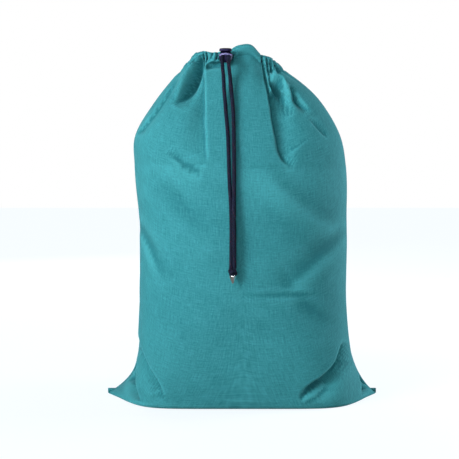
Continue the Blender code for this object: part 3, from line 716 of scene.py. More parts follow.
FRONT_FOLDS = (
    # pleat edge left of the lock, with a long slope down to it on its left
    Fold(((-65.6, 583.1, -4, 2.2, 4), (-66.7, 572.8, -10, 1.8, 6), (-67.2, 561.9, -12, 1.6, 8),
          (-66.5, 544, -12, 1.6, 10), (-65.8, 522.9, -12, 1.6, 13), (-64.9, 495.3, -11, 1.7, 18),
          (-63.9, 458.2, -8, 2, 26), (-63.2, 425.3, -5, 3, 28), (-62.7, 399.2, 0, 6, 20))),
    # deep hollow under the left gathers, and the round ridge left of it
    Fold(((-71.7, 586.7, -3.7, 2.5, 2), (-73.5, 576.5, -11.2, 3, 2.2), (-76.8, 567.7, -21.3, 5, 2.6),
          (-84.2, 551.6, -27.5, 9, 2.8), (-92.4, 535.8, -25, 14, 3), (-101.5, 520.1, -17.5, 17, 3.4),
          (-108.9, 508, -7.5, 18, 5), (-113.7, 497.7, 0, 18, 8))),
    Fold(((-74.3, 595.5, 2.5, 3, 4), (-80.5, 580.3, 6.3, 3.5, 5), (-92.3, 557.4, 8.1, 4, 6),
          (-104.6, 534.4, 6.9, 5, 7), (-117.7, 511.8, 0, 7, 8))),
    # soft round crease where the left hollow ends
    Fold(((-123, 424, 0, 10, 5), (-113, 416, -3.2, 12, 5), (-98, 404, -5, 14, 5), (-82, 393, -4.5, 14, 5),
          (-68, 386, 0, 12, 5))),
    # seam ridge on the left shoulder
    Fold(((-180, 450, 0, 4, 6), (-169, 464, -5, 1.6, 8), (-148, 493, -6.2, 1.6, 9),
          (-125, 527, -5.2, 1.6, 8), (-109, 548, 0, 3, 6))),
    # narrow creases of the left gathers, running down beside the outline
    Fold(((-81.4, 592.4, -2.1, 1.3, 1.6), (-87.6, 584.3, -3.9, 1.3, 1.8), (-101.4, 568.6, -3.9, 1.3, 2.2),
          (-114.4, 548, 0, 2, 3))),
    Fold(((-76.1, 588.7, -2.1, 1.2, 1.5), (-81.4, 576.9, -4.2, 1.3, 1.8), (-91.6, 563, -3.4, 1.4, 2.2),
          (-99.9, 550.5, 0, 2, 3))),
    # creases of the casing left of the lock
    Fold(((-67, 593.4, -4.5, 1.6, 1.8), (-67.7, 584.9, -10.5, 1.7, 1.9), (-68.8, 574.6, -10.5, 1.8, 2.2),
          (-69.3, 565.6, 0, 2, 3))),
    Fold(((-61.7, 593.2, -4.5, 1.4, 1.4), (-60.5, 584.6, -12, 1.4, 1.4), (-62.5, 576.1, -9, 1.5, 1.5),
          (-63.8, 569.1, 0, 2, 2))),
    Fold(((-50.3, 598.1, -3, 1.4, 1.4), (-51.3, 589.5, -6.7, 1.5, 1.5), (-53.6, 581, 0, 2, 2))),
    Fold(((-44.5, 598, -4.5, 1.6, 1.6), (-43.3, 589.4, -10.5, 1.8, 1.8), (-45, 580.9, -7.5, 1.6, 1.6),
          (-46.7, 575.8, 0, 2, 2))),
    # turned-out lower edge of the casing there, and the shadowed tuck under it
    Fold(((-66, 556.5, 0, 2.2, 2.2), (-65.1, 564.6, 3.5, 2.2, 2), (-60.5, 572.6, 4.1, 2.2, 2),
          (-53.6, 577.1, 4.1, 2.2, 2), (-43.3, 579.1, 3.5, 2.2, 2), (-34.7, 579, 0, 2.2, 2))),
    Fold(((-62.9, 564.5, 0, 2.2, 4), (-57.8, 568.4, -5.5, 2, 5), (-50.1, 571.8, -7.5, 2, 6),
          (-41.6, 574, -7.5, 2, 7), (-31.3, 573.9, -4.8, 2.2, 7), (-22.8, 572, 0, 3, 7))),
    # crease between the lock and the flat stretch of the casing
    Fold(((-18.5, 577.2, 0, 2, 2), (-17.1, 584.9, -6, 2.2, 2), (-13.7, 590.8, -5, 2.4, 1.8),
          (-6.5, 595.1, 0, 2.4, 2))),
    # long crease right of the flat stretch, sharp on its left
    Fold(((32.5, 591.9, -3, 1.6, 1.5), (34.5, 582.6, -8, 1.7, 1.5), (36.3, 568.7, -10, 2, 1.5),
          (38.9, 552.5, -11, 5, 1.6), (43, 531.4, -13, 14, 1.7), (46.7, 508.9, -15, 22, 1.8),
          (50.2, 480, -14, 27, 1.9), (54.6, 451.6, -11.5, 31, 2), (59.2, 426.9, -9, 28, 2.4),
          (67.2, 410.6, -6.5, 18, 3), (82, 399.1, 0, 14, 4))),
    # creases and holes between the right gathers
    Fold(((42, 586.2, -2.7, 1.5, 1.5), (43.9, 576, -9.5, 1.5, 1.6), (45.3, 563.5, -13.5, 1.7, 1.8),
          (47.4, 552.7, -5.4, 2, 2), (49.3, 545.6, 0, 2, 2))),
    Fold(((48.9, 581.3, -2.7, 1.5, 1.5), (50.9, 570.9, -13.5, 1.8, 1.9), (52.4, 561.8, -16.2, 2, 2.2),
          (56.4, 553.8, -5.4, 2, 2), (60.6, 549.4, 0, 2, 2))),
    Fold(((55.9, 581.6, -4.1, 1.5, 1.5), (58, 574.8, -8.1, 1.6, 1.8), (62.3, 565.9, -14.9, 2, 2.2),
          (66.2, 557.8, -5.4, 2, 2), (71.1, 551.6, 0, 2, 2))),
    # turned edge under them, the hollow below it and the small pleat tip inside
    Fold(((45.3, 556.2, 0, 3, 2.5), (50.3, 551.8, 9.2, 3, 2.2), (57.1, 548.4, 13.2, 3, 2.2),
          (65.6, 544.2, 13.2, 3.5, 2.4), (71.7, 535.5, 10.6, 5, 3), (78.7, 523.3, 5.3, 6, 4),
          (86.8, 511.2, 0, 6, 5))),
    Fold(((46.7, 544.7, 0, 3, 4), (53.4, 540.4, -19.8, 4, 6), (61.9, 536.1, -25.1, 5, 8),
          (67.3, 528.3, -19.8, 5, 10), (71.5, 516.1, -13.2, 6, 11), (76.1, 500.6, -6.6, 8, 12),
          (82.4, 485.3, 0, 10, 12))),
    Fold(((41.6, 559.8, 0, 2.4, 2.4), (43.8, 545.5, 7.9, 2.8, 2.6), (47.6, 533.2, 11.8, 3.2, 3),
          (49, 528, 10.6, 3.2, 3.2), (49.6, 523.7, 0, 2, 2))),
    # dark three-cornered crease on the right shoulder
    Fold(((79.2, 535.7, 0, 3, 3), (87.5, 525.3, -11.7, 3, 4), (94.7, 513.2, -13, 3, 7),
          (104.6, 501.2, -7.8, 3, 9), (113.8, 491, 0, 3, 9))),
    # thin crease on the right shoulder
    Fold(((112, 480, 0, 3, 1.5), (123, 468, -4.5, 8, 1.4), (133, 457, -4.5, 8, 1.4), (143, 446, 0, 6, 2))),
    # lower left: slack cloth over the ear
    Fold(((-180, 108, 0, 2, 6), (-169, 85, -13.1, 1.8, 12), (-157, 64, -16.6, 1.8, 15),
          (-142.4, 43, -12.1, 2, 14), (-129, 18, 0, 4, 10))),
    Fold(((-183, 58, 0, 2, 6), (-185.5, 43, -17.4, 2.2, 9), (-185, 28, -22.6, 2.2, 10),
          (-179, 15, -15.6, 2.6, 9), (-170, 6, 0, 4, 8))),
    Fold(((-148, 23, 0, 4, 4), (-139, 30, 3.8, 4, 3), (-128, 22, 0, 4, 4))),
    # lower right: fold over slack cloth, with the ear tucked behind
    Fold(((170, 104, 0, 8, 3), (160, 83, -20, 17, 1.8), (152, 69, -28.2, 21, 1.6),
          (129, 50, -28.2, 21, 1.6), (107.8, 37.1, -20, 16, 1.8), (93, 18, 0, 10, 4))),
    Fold(((142, 42, 0, 4, 4), (125, 32, 8.3, 5, 4), (106, 22, 6.6, 5, 4), (96, 15, 0, 4, 4))),
    Fold(((200, 54, 0, 6, 2), (208, 34, -23.6, 9, 2), (211, 18, -25.9, 9, 2), (206, 6, 0, 8, 4))),
    # narrow shadow lines at the foot of the turned edges
    Fold(((172, 104, 0, 4, 1.4), (164, 87, -6, 4.5, 1.3), (153, 70, -8.5, 5, 1.2), (130, 51, -9, 5, 1.2),
          (108.5, 37.8, -7, 4.5, 1.3), (96, 22, 0, 4, 3))),
    Fold(((-180, 108, 0, 1.2, 3), (-169, 85, -4, 1.2, 3), (-157, 64, -5, 1.2, 4), (-142.4, 43, -4, 1.2, 4),
          (-133, 25, 0, 2, 4))),
    Fold(((-181.5, 64, 0, 1.2, 3), (-185, 47, -5, 1.3, 4), (-185.5, 30, -7, 1.3, 4),
          (-179.5, 15, -5, 1.4, 4), (-170, 6, 0, 2, 4))),
    # slack folds of the filled body and two lines left by packing
    Fold(((-180, 308, 0, 10, 10), (-166, 278, -4.6, 12, 5), (-148, 244, -3.5, 16, 6),
          (-125, 205, 0, 18, 12))),
    Fold(((178, 295, 0, 12, 12), (135, 260, -4.1, 12, 22), (90, 225, -3.8, 14, 26), (40, 185, 0, 20, 26))),
    Fold(((20, 405, 0, 15, 20), (60, 350, 4.1, 18, 26), (110, 308, 3.8, 18, 26), (160, 285, 0, 15, 20))),
    Fold(((-150, 400, 0, 15, 20), (-115, 350, -4.1, 20, 24), (-80, 305, -3.2, 22, 26),
          (-60, 260, 0, 20, 20))),
    Fold(((-40, 195, 0, 1.5, 2.5), (20, 192.5, -0.9, 1.5, 3), (90, 190, -0.9, 1.5, 3),
          (160, 185, 0, 1.5, 2.5))),
    Fold(((55, 240, 0, 10, 12), (100, 175, -2.4, 12, 16), (150, 135, 0, 12, 16))),
)

BACK_FOLDS = (
    Fold(((-50, 584, -1, 4, 4), (-56, 562, -10, 6, 5), (-65, 525, -9, 10, 6), (-78, 480, -4, 14, 8),
          (-85, 440, 0, 14, 10))),
    Fold(((5, 584, -1, 4, 4), (6, 560, -9, 4, 7), (4, 515, -8, 4, 14), (-2, 460, -4.5, 4, 20),
          (-10, 415, 0, 8, 20))),
    Fold(((48, 582, -1, 4, 4), (56, 555, -11, 6, 6), (72, 520, -8, 8, 10), (90, 478, 0, 10, 14))),
    Fold(((-100, 548, 0, 4, 4), (-117, 518, -4.5, 3, 6), (-138, 480, 0, 5, 8))),
    Fold(((170, 110, 0, 8, 3), (154, 78, -6.5, 14, 2), (125, 52, -6, 14, 2), (98, 30, 0, 10, 4))),
    Fold(((-172, 105, 0, 3, 8), (-155, 72, -6, 2, 13), (-130, 45, -5, 2, 13), (-108, 26, 0, 4, 10))),
)


# ---- finishes ---------------------------------------------------------------------------------
@dataclass
class Graph:
    """Short way to build the nodes of a material or of the surroundings."""

    owner: bpy.types.Material | bpy.types.World

    @classmethod
    def new(cls, name: str) -> "Graph":
        """Graph of a new material, without any node yet.

        Args:
            name: Name of the material.

        Returns:
            The graph.
        """
        material = bpy.data.materials.new(name)
        material.use_nodes = True
        material.node_tree.nodes.clear()
        return cls(material)

    def node(self, kind: str, inputs: dict | None = None, **settings: object) -> bpy.types.Node:
        """Adds a node.

        Args:
            kind: Node type without its ShaderNode prefix.
            inputs: Values or sockets for the node's inputs, by name or number.
            settings: The node's own properties.

        Returns:
            The node.
        """
        made = self.owner.node_tree.nodes.new("ShaderNode" + kind)
        for key, value in settings.items():
            setattr(made, key, value)
        for key, value in (inputs or {}).items():
            if isinstance(value, Socket):
                self.owner.node_tree.links.new(value, made.inputs[key])
            else:
                made.inputs[key].default_value = value
        return made

    def math(self, operation: str, first: Socket | float, second: Socket | float) -> Socket:
        """Result of a two-input math node."""
        return self.node("Math", {0: first, 1: second}, operation=operation).outputs[0]

    def mix(self, factor: Socket, low: Socket | tuple, high: Socket | tuple) -> Socket:
        """Colour between low and high."""
        made = self.node("Mix", {0: factor, 6: low, 7: high}, data_type="RGBA")
        return made.outputs[2]

    def noise(self, vector: Socket, scale: float, detail: float = 2.0) -> Socket:
        """Fractal noise from 0 to 1."""
        made = self.node("TexNoise", {"Vector": vector, "Scale": scale, "Detail": detail})
        return made.outputs["Fac"]

    def surface(self, inputs: dict) -> bpy.types.Material:
        """Closes the graph with a Principled shader.

        Args:
            inputs: Values or sockets for the shader's inputs, by name.

        Returns:
            The material.
        """
        shader = self.node("BsdfPrincipled", inputs)
        self.node("OutputMaterial", {"Surface": shader.outputs[0]})
        return self.owner


@dataclass(frozen=True)
class WovenCloth:
    """Plain-woven cotton and polyester: threads, slubs, uneven dye, and painted highlight on ridges with
    painted shade in creases.
    """

    name: str
    base: tuple
    lighter: tuple
    thread: float = 0.00055
    weave_depth: float = 0.00010
    slub_scale: tuple = (900.0, 45.0, 1.0)
    slub_tone: float = 1.10
    dye_tone: float = 0.35
    nap_tone: float = 0.75
    # weight of the painted highlight on ridges and painted shade in creases
    crest_shading_tone: float = 0.42
    darker: float = 1.22

    def build(self) -> bpy.types.Material:
        """Reads the cloth's flat coordinates, in metres, and its crest attribute.

        The weave is the product of two sines, one along each thread direction; the colour runs from
        base to lighter by the weighted sum of slubs, dye, nap and crest; the crest term is painted
        highlight on ridges and painted shade in creases.

        Returns:
            The material.
        """
        graph = Graph.new(self.name)
        flat = graph.node("UVMap", uv_map="cloth").outputs["UV"]
        parts = graph.node("SeparateXYZ", {0: flat})
        beat = math.pi / self.thread
        warp = graph.math("SINE", graph.math("MULTIPLY", parts.outputs[0], beat), 0.0)
        weft = graph.math("SINE", graph.math("MULTIPLY", parts.outputs[1], beat), 0.0)
        weave = graph.math("MULTIPLY", warp, weft)
        across, along, flat_scale = self.slub_scale
        streaks = [graph.node("Mapping", {"Vector": flat, "Scale": scale}).outputs[0]
                   for scale in ((across, along, flat_scale), (along, across, flat_scale))]
        slubs = graph.math("ADD", graph.noise(streaks[0], 1.0), graph.noise(streaks[1], 1.0))
        dye = graph.noise(graph.node("TexCoord").outputs["Object"], 9.0, 3.0)
        nap = graph.noise(flat, 320.0, 2.0)
        # crest attribute: lightens ridges and darkens creases, as painted highlight and painted shade
        crest = graph.node("Attribute", attribute_name="crest").outputs["Fac"]
        tone = graph.math("MULTIPLY", slubs, self.slub_tone)
        for part, weight in ((dye, self.dye_tone), (nap, self.nap_tone), (crest, self.crest_shading_tone)):
            tone = graph.math("ADD", tone, graph.math("MULTIPLY", part, weight))
        tone = graph.math("SUBTRACT", tone, self.darker)
        colour = graph.mix(tone, (*self.base, 1.0), (*self.lighter, 1.0))
        height = graph.math("ADD", graph.math("MULTIPLY", weave, 0.5), graph.math("MULTIPLY", slubs, 0.9))
        bump = graph.node("Bump", {"Height": height, "Distance": self.weave_depth, "Strength": 0.8})
        return graph.surface({
            "Base Color": colour, "Roughness": 0.86, "Normal": bump.outputs[0],
            "Specular IOR Level": 0.12, "Sheen Weight": 0.16, "Sheen Roughness": 0.40,
            "Sheen Tint": (0.35, 0.88, 0.98, 1.0)})


@dataclass(frozen=True)
class BraidedCord:
    """Dark braided cord with a reddish tracer thread, read from its strand attribute."""

    name: str
    base: tuple
    tracer: tuple
    speck: float = 5.0

    def build(self) -> bpy.types.Material:
        """Dark fibres with paler specks of the same hue, and the tracer where the strand value is high.

        Returns:
            The material.
        """
        graph = Graph.new(self.name)
        strand = graph.node("Attribute", attribute_name="strand").outputs["Fac"]
        place = graph.node("TexCoord").outputs["Object"]
        fibres = graph.noise(place, 2600.0, 2.0)
        specks = graph.math("MULTIPLY", graph.math("SUBTRACT", graph.noise(place, 700.0, 1.0), 0.52), 4.0)
        dark = graph.mix(specks, (*self.base, 1.0), (*(self.speck * part for part in self.base), 1.0))
        colour = graph.mix(strand, dark, (*self.tracer, 1.0))
        bump = graph.node("Bump", {"Height": fibres, "Distance": 0.00012, "Strength": 0.6})
        return graph.surface({"Base Color": colour, "Roughness": 0.75, "Normal": bump.outputs[0],
                              "Specular IOR Level": 0.14})


@dataclass(frozen=True)
class Moulded:
    """Smooth finish of the hard parts: moulded plastic, sheet metal or wire."""

    name: str
    base: tuple
    roughness: float
    metallic: float = 0.0
    shine: float = 0.5
    shine_tint: tuple = (1.0, 1.0, 1.0)
    grain: float = 0.0

    def build(self) -> bpy.types.Material:
        """Slight unevenness in gloss and, if asked for, a fine grain.

        Returns:
            The material.
        """
        graph = Graph.new(self.name)
        place = graph.node("TexCoord").outputs["Object"]
        wear = graph.noise(place, 420.0, 3.0)
        rough = graph.math("ADD", graph.math("MULTIPLY", wear, 0.16), self.roughness - 0.08)
        bump = graph.node("Bump", {"Height": graph.noise(place, 3000.0, 2.0),
                                   "Distance": 0.00005, "Strength": self.grain})
        return graph.surface({"Base Color": (*self.base, 1.0), "Roughness": rough,
                              "Metallic": self.metallic, "Specular IOR Level": self.shine,
                              "Specular Tint": (*self.shine_tint, 1.0), "Normal": bump.outputs[0]})


@dataclass(frozen=True)
class Finishes:
    """Every material of the bag."""

    cloth: bpy.types.Material
    thread: bpy.types.Material
    cord: bpy.types.Material
    plastic: bpy.types.Material
    brow: bpy.types.Material
    tip: bpy.types.Material
    steel: bpy.types.Material

    @classmethod
    def make(cls) -> "Finishes":
        """Builds the materials once.

        Returns:
            All the finishes.
        """
        return cls(
            cloth=WovenCloth("teal cloth", (0.014, 0.128, 0.146), (0.044, 0.250, 0.272)).build(),
            thread=Moulded("teal thread", (0.018, 0.105, 0.120), 0.85, shine=0.08, grain=0.4).build(),
            cord=BraidedCord("plum braid", (0.0030, 0.0042, 0.0120), (0.042, 0.009, 0.022)).build(),
            plastic=Moulded("dark plastic", (0.0034, 0.0026, 0.0120), 0.46, shine=0.42,
                            shine_tint=(0.50, 0.44, 1.0)).build(),
            # light lavender of the brow rib: painted highlight on the dark lock's upper edge
            brow=Moulded("lavender plastic painted highlight", (0.205, 0.185, 0.390), 0.42, shine=0.3).build(),
            tip=Moulded("folded tip metal", (0.86, 0.87, 0.90), 0.20, metallic=1.0).build(),
            steel=Moulded("spring steel", (0.55, 0.55, 0.58), 0.30, metallic=1.0).build())


def dress(thing: bpy.types.Object, material: bpy.types.Material) -> bpy.types.Object:
    """Gives a piece its material and reports it.

    Args:
        thing: The piece.
        material: Its finish.

    Returns:
        The piece.
    """
    thing.data.materials.clear()
    thing.data.materials.append(material)
    LOG.info("%s in %s", thing.name, material.name)
    return thing


# ---- cords, knot and tip ----------------------------------------------------------------------
@dataclass
class Braid:
    """Round braided cord along a path, with its strands modelled as raised diamond cells."""

    path: Array
    diameter: float = 0.006
    sides: int = 40
    strands: int = 8
    pitch: float = 0.0046
    relief: float = 0.00075
    under: float = 0.22
    ring_step: float = 0.00048
    tracer_seed: float = 0.0
    sideways: tuple = (1.0, 0.02, 0.01)

    def build(self, name: str) -> bpy.types.Object:
        """Closed tube whose radius follows the braid, with the strand attribute.

        The braid is two families of helices; with p and q their phases, the surface stands out as
        the root of sin(pi p) times sin(pi q), one cell for each crossing, and every other cell lies
        a little lower.

        Args:
            name: Piece name.

        Returns:
            The cord.
        """
        line = self.even(self.path, self.ring_step)
        along = np.arange(len(line)) * self.ring_step
        around = np.arange(self.sides) / self.sides
        p = self.strands * around[None, :] + along[:, None] / self.pitch
        q = self.strands * around[None, :] - along[:, None] / self.pitch
        cell = np.abs(np.sin(np.pi * p) * np.sin(np.pi * q))
        row, column = np.floor(p).astype(int), np.floor(q).astype(int)
        over = (row + column) % 2
        lift = np.sqrt(cell) * (1.0 - self.under * over)
        points = rings(line, self.diameter / 2 + self.relief * (lift - 0.5), self.sides, self.sideways)
        tracer = ((row * 3 + self.tracer_seed) % self.strands < 1.0) & (over == 0)
        value = np.where(tracer, 0.85 * np.sqrt(cell), 0.0)
        mesh = bpy.data.meshes.new(name)
        vertices = np.vstack([points.reshape(-1, 3), line[0], line[-1]])
        mesh.from_pydata(vertices.tolist(), [], self.faces(len(line)))
        mesh.shade_smooth()
        strand = mesh.attributes.new("strand", "FLOAT", "POINT")
        strand.data.foreach_set("value", np.append(value.ravel(), (0.0, 0.0)).astype(np.float32))
        return link(name, mesh)

    def faces(self, count: int) -> list:
        """Faces of the tube and of the fans that close its ends.

        Args:
            count: Rings of the tube.

        Returns:
            Vertex indices of each face; the two end points come after the rings.
        """
        turn = np.arange(self.sides)
        after = (turn + 1) % self.sides
        last = (count - 1) * self.sides
        start = np.stack([after, turn, np.full_like(turn, count * self.sides)], axis=1)
        end = np.stack([last + turn, last + after, np.full_like(turn, count * self.sides + 1)], axis=1)
        return [*grid_quads(count, self.sides, wrap=True).tolist(), *start.tolist(), *end.tolist()]

    @staticmethod
    def even(path: Array, step: float) -> Array:
        """The path read at even steps along its length.

        Args:
            path: Points, n x 3.
            step: Distance between the points read.

        Returns:
            Points, a step apart.
        """
        run = path_run(path)
        places = np.arange(0.0, run[-1], step)
        return np.stack([np.interp(places, run, path[:, axis]) for axis in range(3)], axis=1)


@dataclass(frozen=True)
class LockPlace:
    """Where the cord lock and its cords are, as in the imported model."""

    x: float = -0.0285
    hole_z: float = 0.5835
    back_y: float = -0.0500
    width: float = 0.0225
    depth: float = 0.0135
    below: float = 0.0100
    above: float = 0.0060
    spacing: float = 0.0106
    turn: float = 0.0120

    @property
    def front_y(self) -> float:
        """Front face of the barrel."""
        return self.back_y - self.depth

    @property
    def middle_y(self) -> float:
        """Middle of the barrel, front to back."""
        return self.back_y - self.depth / 2

    @property
    def pivot(self) -> tuple[float, float]:
        """Y and Z of the line about which the tails swing."""
        return self.front_y - self.turn - 0.0003, self.hole_z - self.turn - 0.0033


TAIL_STOPS = {
    Side.LEFT: ((-0.0322, -0.0745, 0.5500), (-0.0310, -0.0800, 0.5280), (-0.0294, -0.0890, 0.5080),
                (-0.0278, -0.1000, 0.4880), (-0.0260, -0.1110, 0.4680), (-0.0244, -0.1208, 0.4470),
                (-0.0234, -0.1290, 0.4230), (-0.0228, -0.1346, 0.3980), (-0.0218, -0.1376, 0.3720),
                (-0.0202, -0.1396, 0.3460), (-0.0192, -0.1408, 0.3200), (-0.0188, -0.1416, 0.2950),
                (-0.0189, -0.1420, 0.2680), (-0.0193, -0.1428, 0.2480)),
    Side.RIGHT: ((-0.0212, -0.0745, 0.5500), (-0.0192, -0.0800, 0.5280), (-0.0172, -0.0890, 0.5080),
                 (-0.0158, -0.1000, 0.4880), (-0.0151, -0.1110, 0.4680), (-0.0148, -0.1208, 0.4470),
                 (-0.0146, -0.1290, 0.4230), (-0.0144, -0.1348, 0.3980), (-0.0144, -0.1390, 0.3720),
                 (-0.0146, -0.1422, 0.3460), (-0.0146, -0.1448, 0.3200), (-0.0144, -0.1466, 0.2950),
                 (-0.0142, -0.1472, 0.2680), (-0.0140, -0.1466, 0.2480)),
}


@dataclass
class CordTails:
    """Both ends of the drawcord, their knot and the metal tip."""

    lock: LockPlace
    diameter: float = 0.006
    knot: tuple = (-0.0168, -0.1448, 0.2283)
    knot_half: tuple = (0.0075, 0.0066, 0.0066)
    knot_cord: float = 0.0052
    knot_core: float = 0.72
    knot_gap: float = 0.0031
    tip_width: float = 0.0115
    tip_depth: float = 0.0088
    tip_length: float = 0.0118
    tip_tuck: float = 0.0022
    tip_shoulder: float = 0.0030
    tip_dip: float = 0.0034
    tip_point: float = 0.0009
    tip_sheet: float = 0.0006

    def path(self, side: Side) -> Array:
        """Centreline of one tail: out of the lock's front, a quarter turn down, then by its stops to
        the knot.

        Args:
            side: Which tail.

        Returns:
            Points, about a millimetre apart.
        """
        x = self.lock.x + side.value * self.lock.spacing / 2
        bend = np.linspace(0.0, np.pi / 2, 9)
        turned = np.stack([np.full(9, x), self.lock.front_y + 0.0015 - self.lock.turn * np.sin(bend),
                           self.lock.hole_z - self.lock.turn * (1 - np.cos(bend))], axis=1)
        end = (self.knot[0] + side.value * self.knot_gap, self.knot[1],
               self.knot[2] + self.knot_half[2] - 0.0012)
        stops = np.vstack([turned[:-1], [(x, *self.lock.pivot)], TAIL_STOPS[side], [end]])
        return smooth_path(stops, 0.0010)

    def build(self, finish: Finishes) -> None:
        """Args:
            finish: The bag's finishes.
        """
        knot, tip = self.build_knot(finish), self.build_tip(finish)
        for side, name in ((Side.LEFT, "left"), (Side.RIGHT, "right")):
            path = self.path(side)
            tail = Braid(path, self.diameter, tracer_seed=3.0 * side.value).build("cord_tail_" + name)
            dress(tail, finish.cord)
            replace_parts(tail, "cord_exit_" + name, "tail_" + name)
            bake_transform(tail)

    def build_knot(self, finish: Finishes) -> bpy.types.Object:
        """Overhand knot drawn tight, a trefoil curve squeezed to the knot's size, with a filled core.

        Args:
            finish: The bag's finishes.

        Returns:
            The knot.
        """
        turn = np.linspace(0.0, 2 * np.pi, 260)
        wide = (np.array(self.knot_half) - self.knot_cord / 2) / (3.0, 3.0, 1.0)
        curve = np.stack([(2 + np.cos(3 * turn)) * np.cos(2 * turn + 0.5),
                          (2 + np.cos(3 * turn)) * np.sin(2 * turn + 0.5), np.sin(3 * turn)], axis=1)
        knot = Braid(curve * wide + self.knot, self.knot_cord, sides=28, tracer_seed=1.0).build("cord_knot")
        core = bmesh.new()
        bmesh.ops.create_uvsphere(core, u_segments=24, v_segments=14, radius=1.0)
        bmesh.ops.scale(core, vec=[self.knot_core * half for half in self.knot_half], verts=core.verts)
        bmesh.ops.translate(core, vec=self.knot, verts=core.verts)
        core.from_mesh(knot.data)
        core.to_mesh(knot.data)
        core.free()
        knot.data.shade_smooth()
        dress(knot, finish.cord)
        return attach(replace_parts(knot, "knot"), "tails")

    def build_tip(self, finish: Finishes) -> bpy.types.Object:
        """Metal tip folded from one sheet: two leaves that meet on a centre crease and narrow to a point.

        Args:
            finish: The bag's finishes.

        Returns:
            The tip.
        """
        x, y, middle = self.knot
        top = middle - self.knot_half[2] + self.tip_tuck
        low = top - self.tip_tuck - self.tip_length
        half, deep, point = self.tip_width / 2, self.tip_depth / 2, self.tip_point
        shoulder = top - self.tip_shoulder
        points = []
        for face in (-1.0, 1.0):
            points += [(x - half, y, shoulder), (x - 0.55 * half, y + face * deep, top),
                       (x, y + face * deep * 0.55, top - self.tip_dip),
                       (x + 0.55 * half, y + face * deep, top), (x + half, y, shoulder),
                       (x - point, y + face * point, low), (x + point, y + face * point, low)]
        leaf = [(0, 1, 5), (1, 2, 6, 5), (2, 3, 6), (3, 4, 6)]
        other = [tuple(index + 7 for index in reversed(part)) for part in leaf]
        mesh = bpy.data.meshes.new("folded_tip")
        mesh.from_pydata(points, [], leaf + other)
        tip = link("folded_tip", mesh)
        wall = tip.modifiers.new("sheet", "SOLIDIFY")
        wall.thickness = self.tip_sheet
        edges = tip.modifiers.new("edges", "BEVEL")
        edges.width = 0.00025
        edges.segments = 2
        dress(tip, finish.tip)
        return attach(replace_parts(tip, "cord_tip"), "tails")


# ---- the cord lock ----------------------------------------------------------------------------
def quarter_round(start: tuple, end: tuple, widens: bool, count: int = 14) -> Array:
    """Quarter of an ellipse between two rows of a profile.

    Args:
        start: Lower row: share of the half width, share of the half depth, height.
        end: Upper row.
        widens: Whether it leaves its lower row level and ends upright, as under a belly, rather than
            the other way round, as over a shoulder.
        count: Rows of the quarter.

    Returns:
        Rows from start to end.
    """
    turn = np.linspace(0.0, np.pi / 2, count)
    out, up = (np.sin(turn), 1 - np.cos(turn)) if widens else (1 - np.cos(turn), np.sin(turn))
    return np.array(start) + np.stack([out, out, up], axis=1) * (np.array(end) - np.array(start))


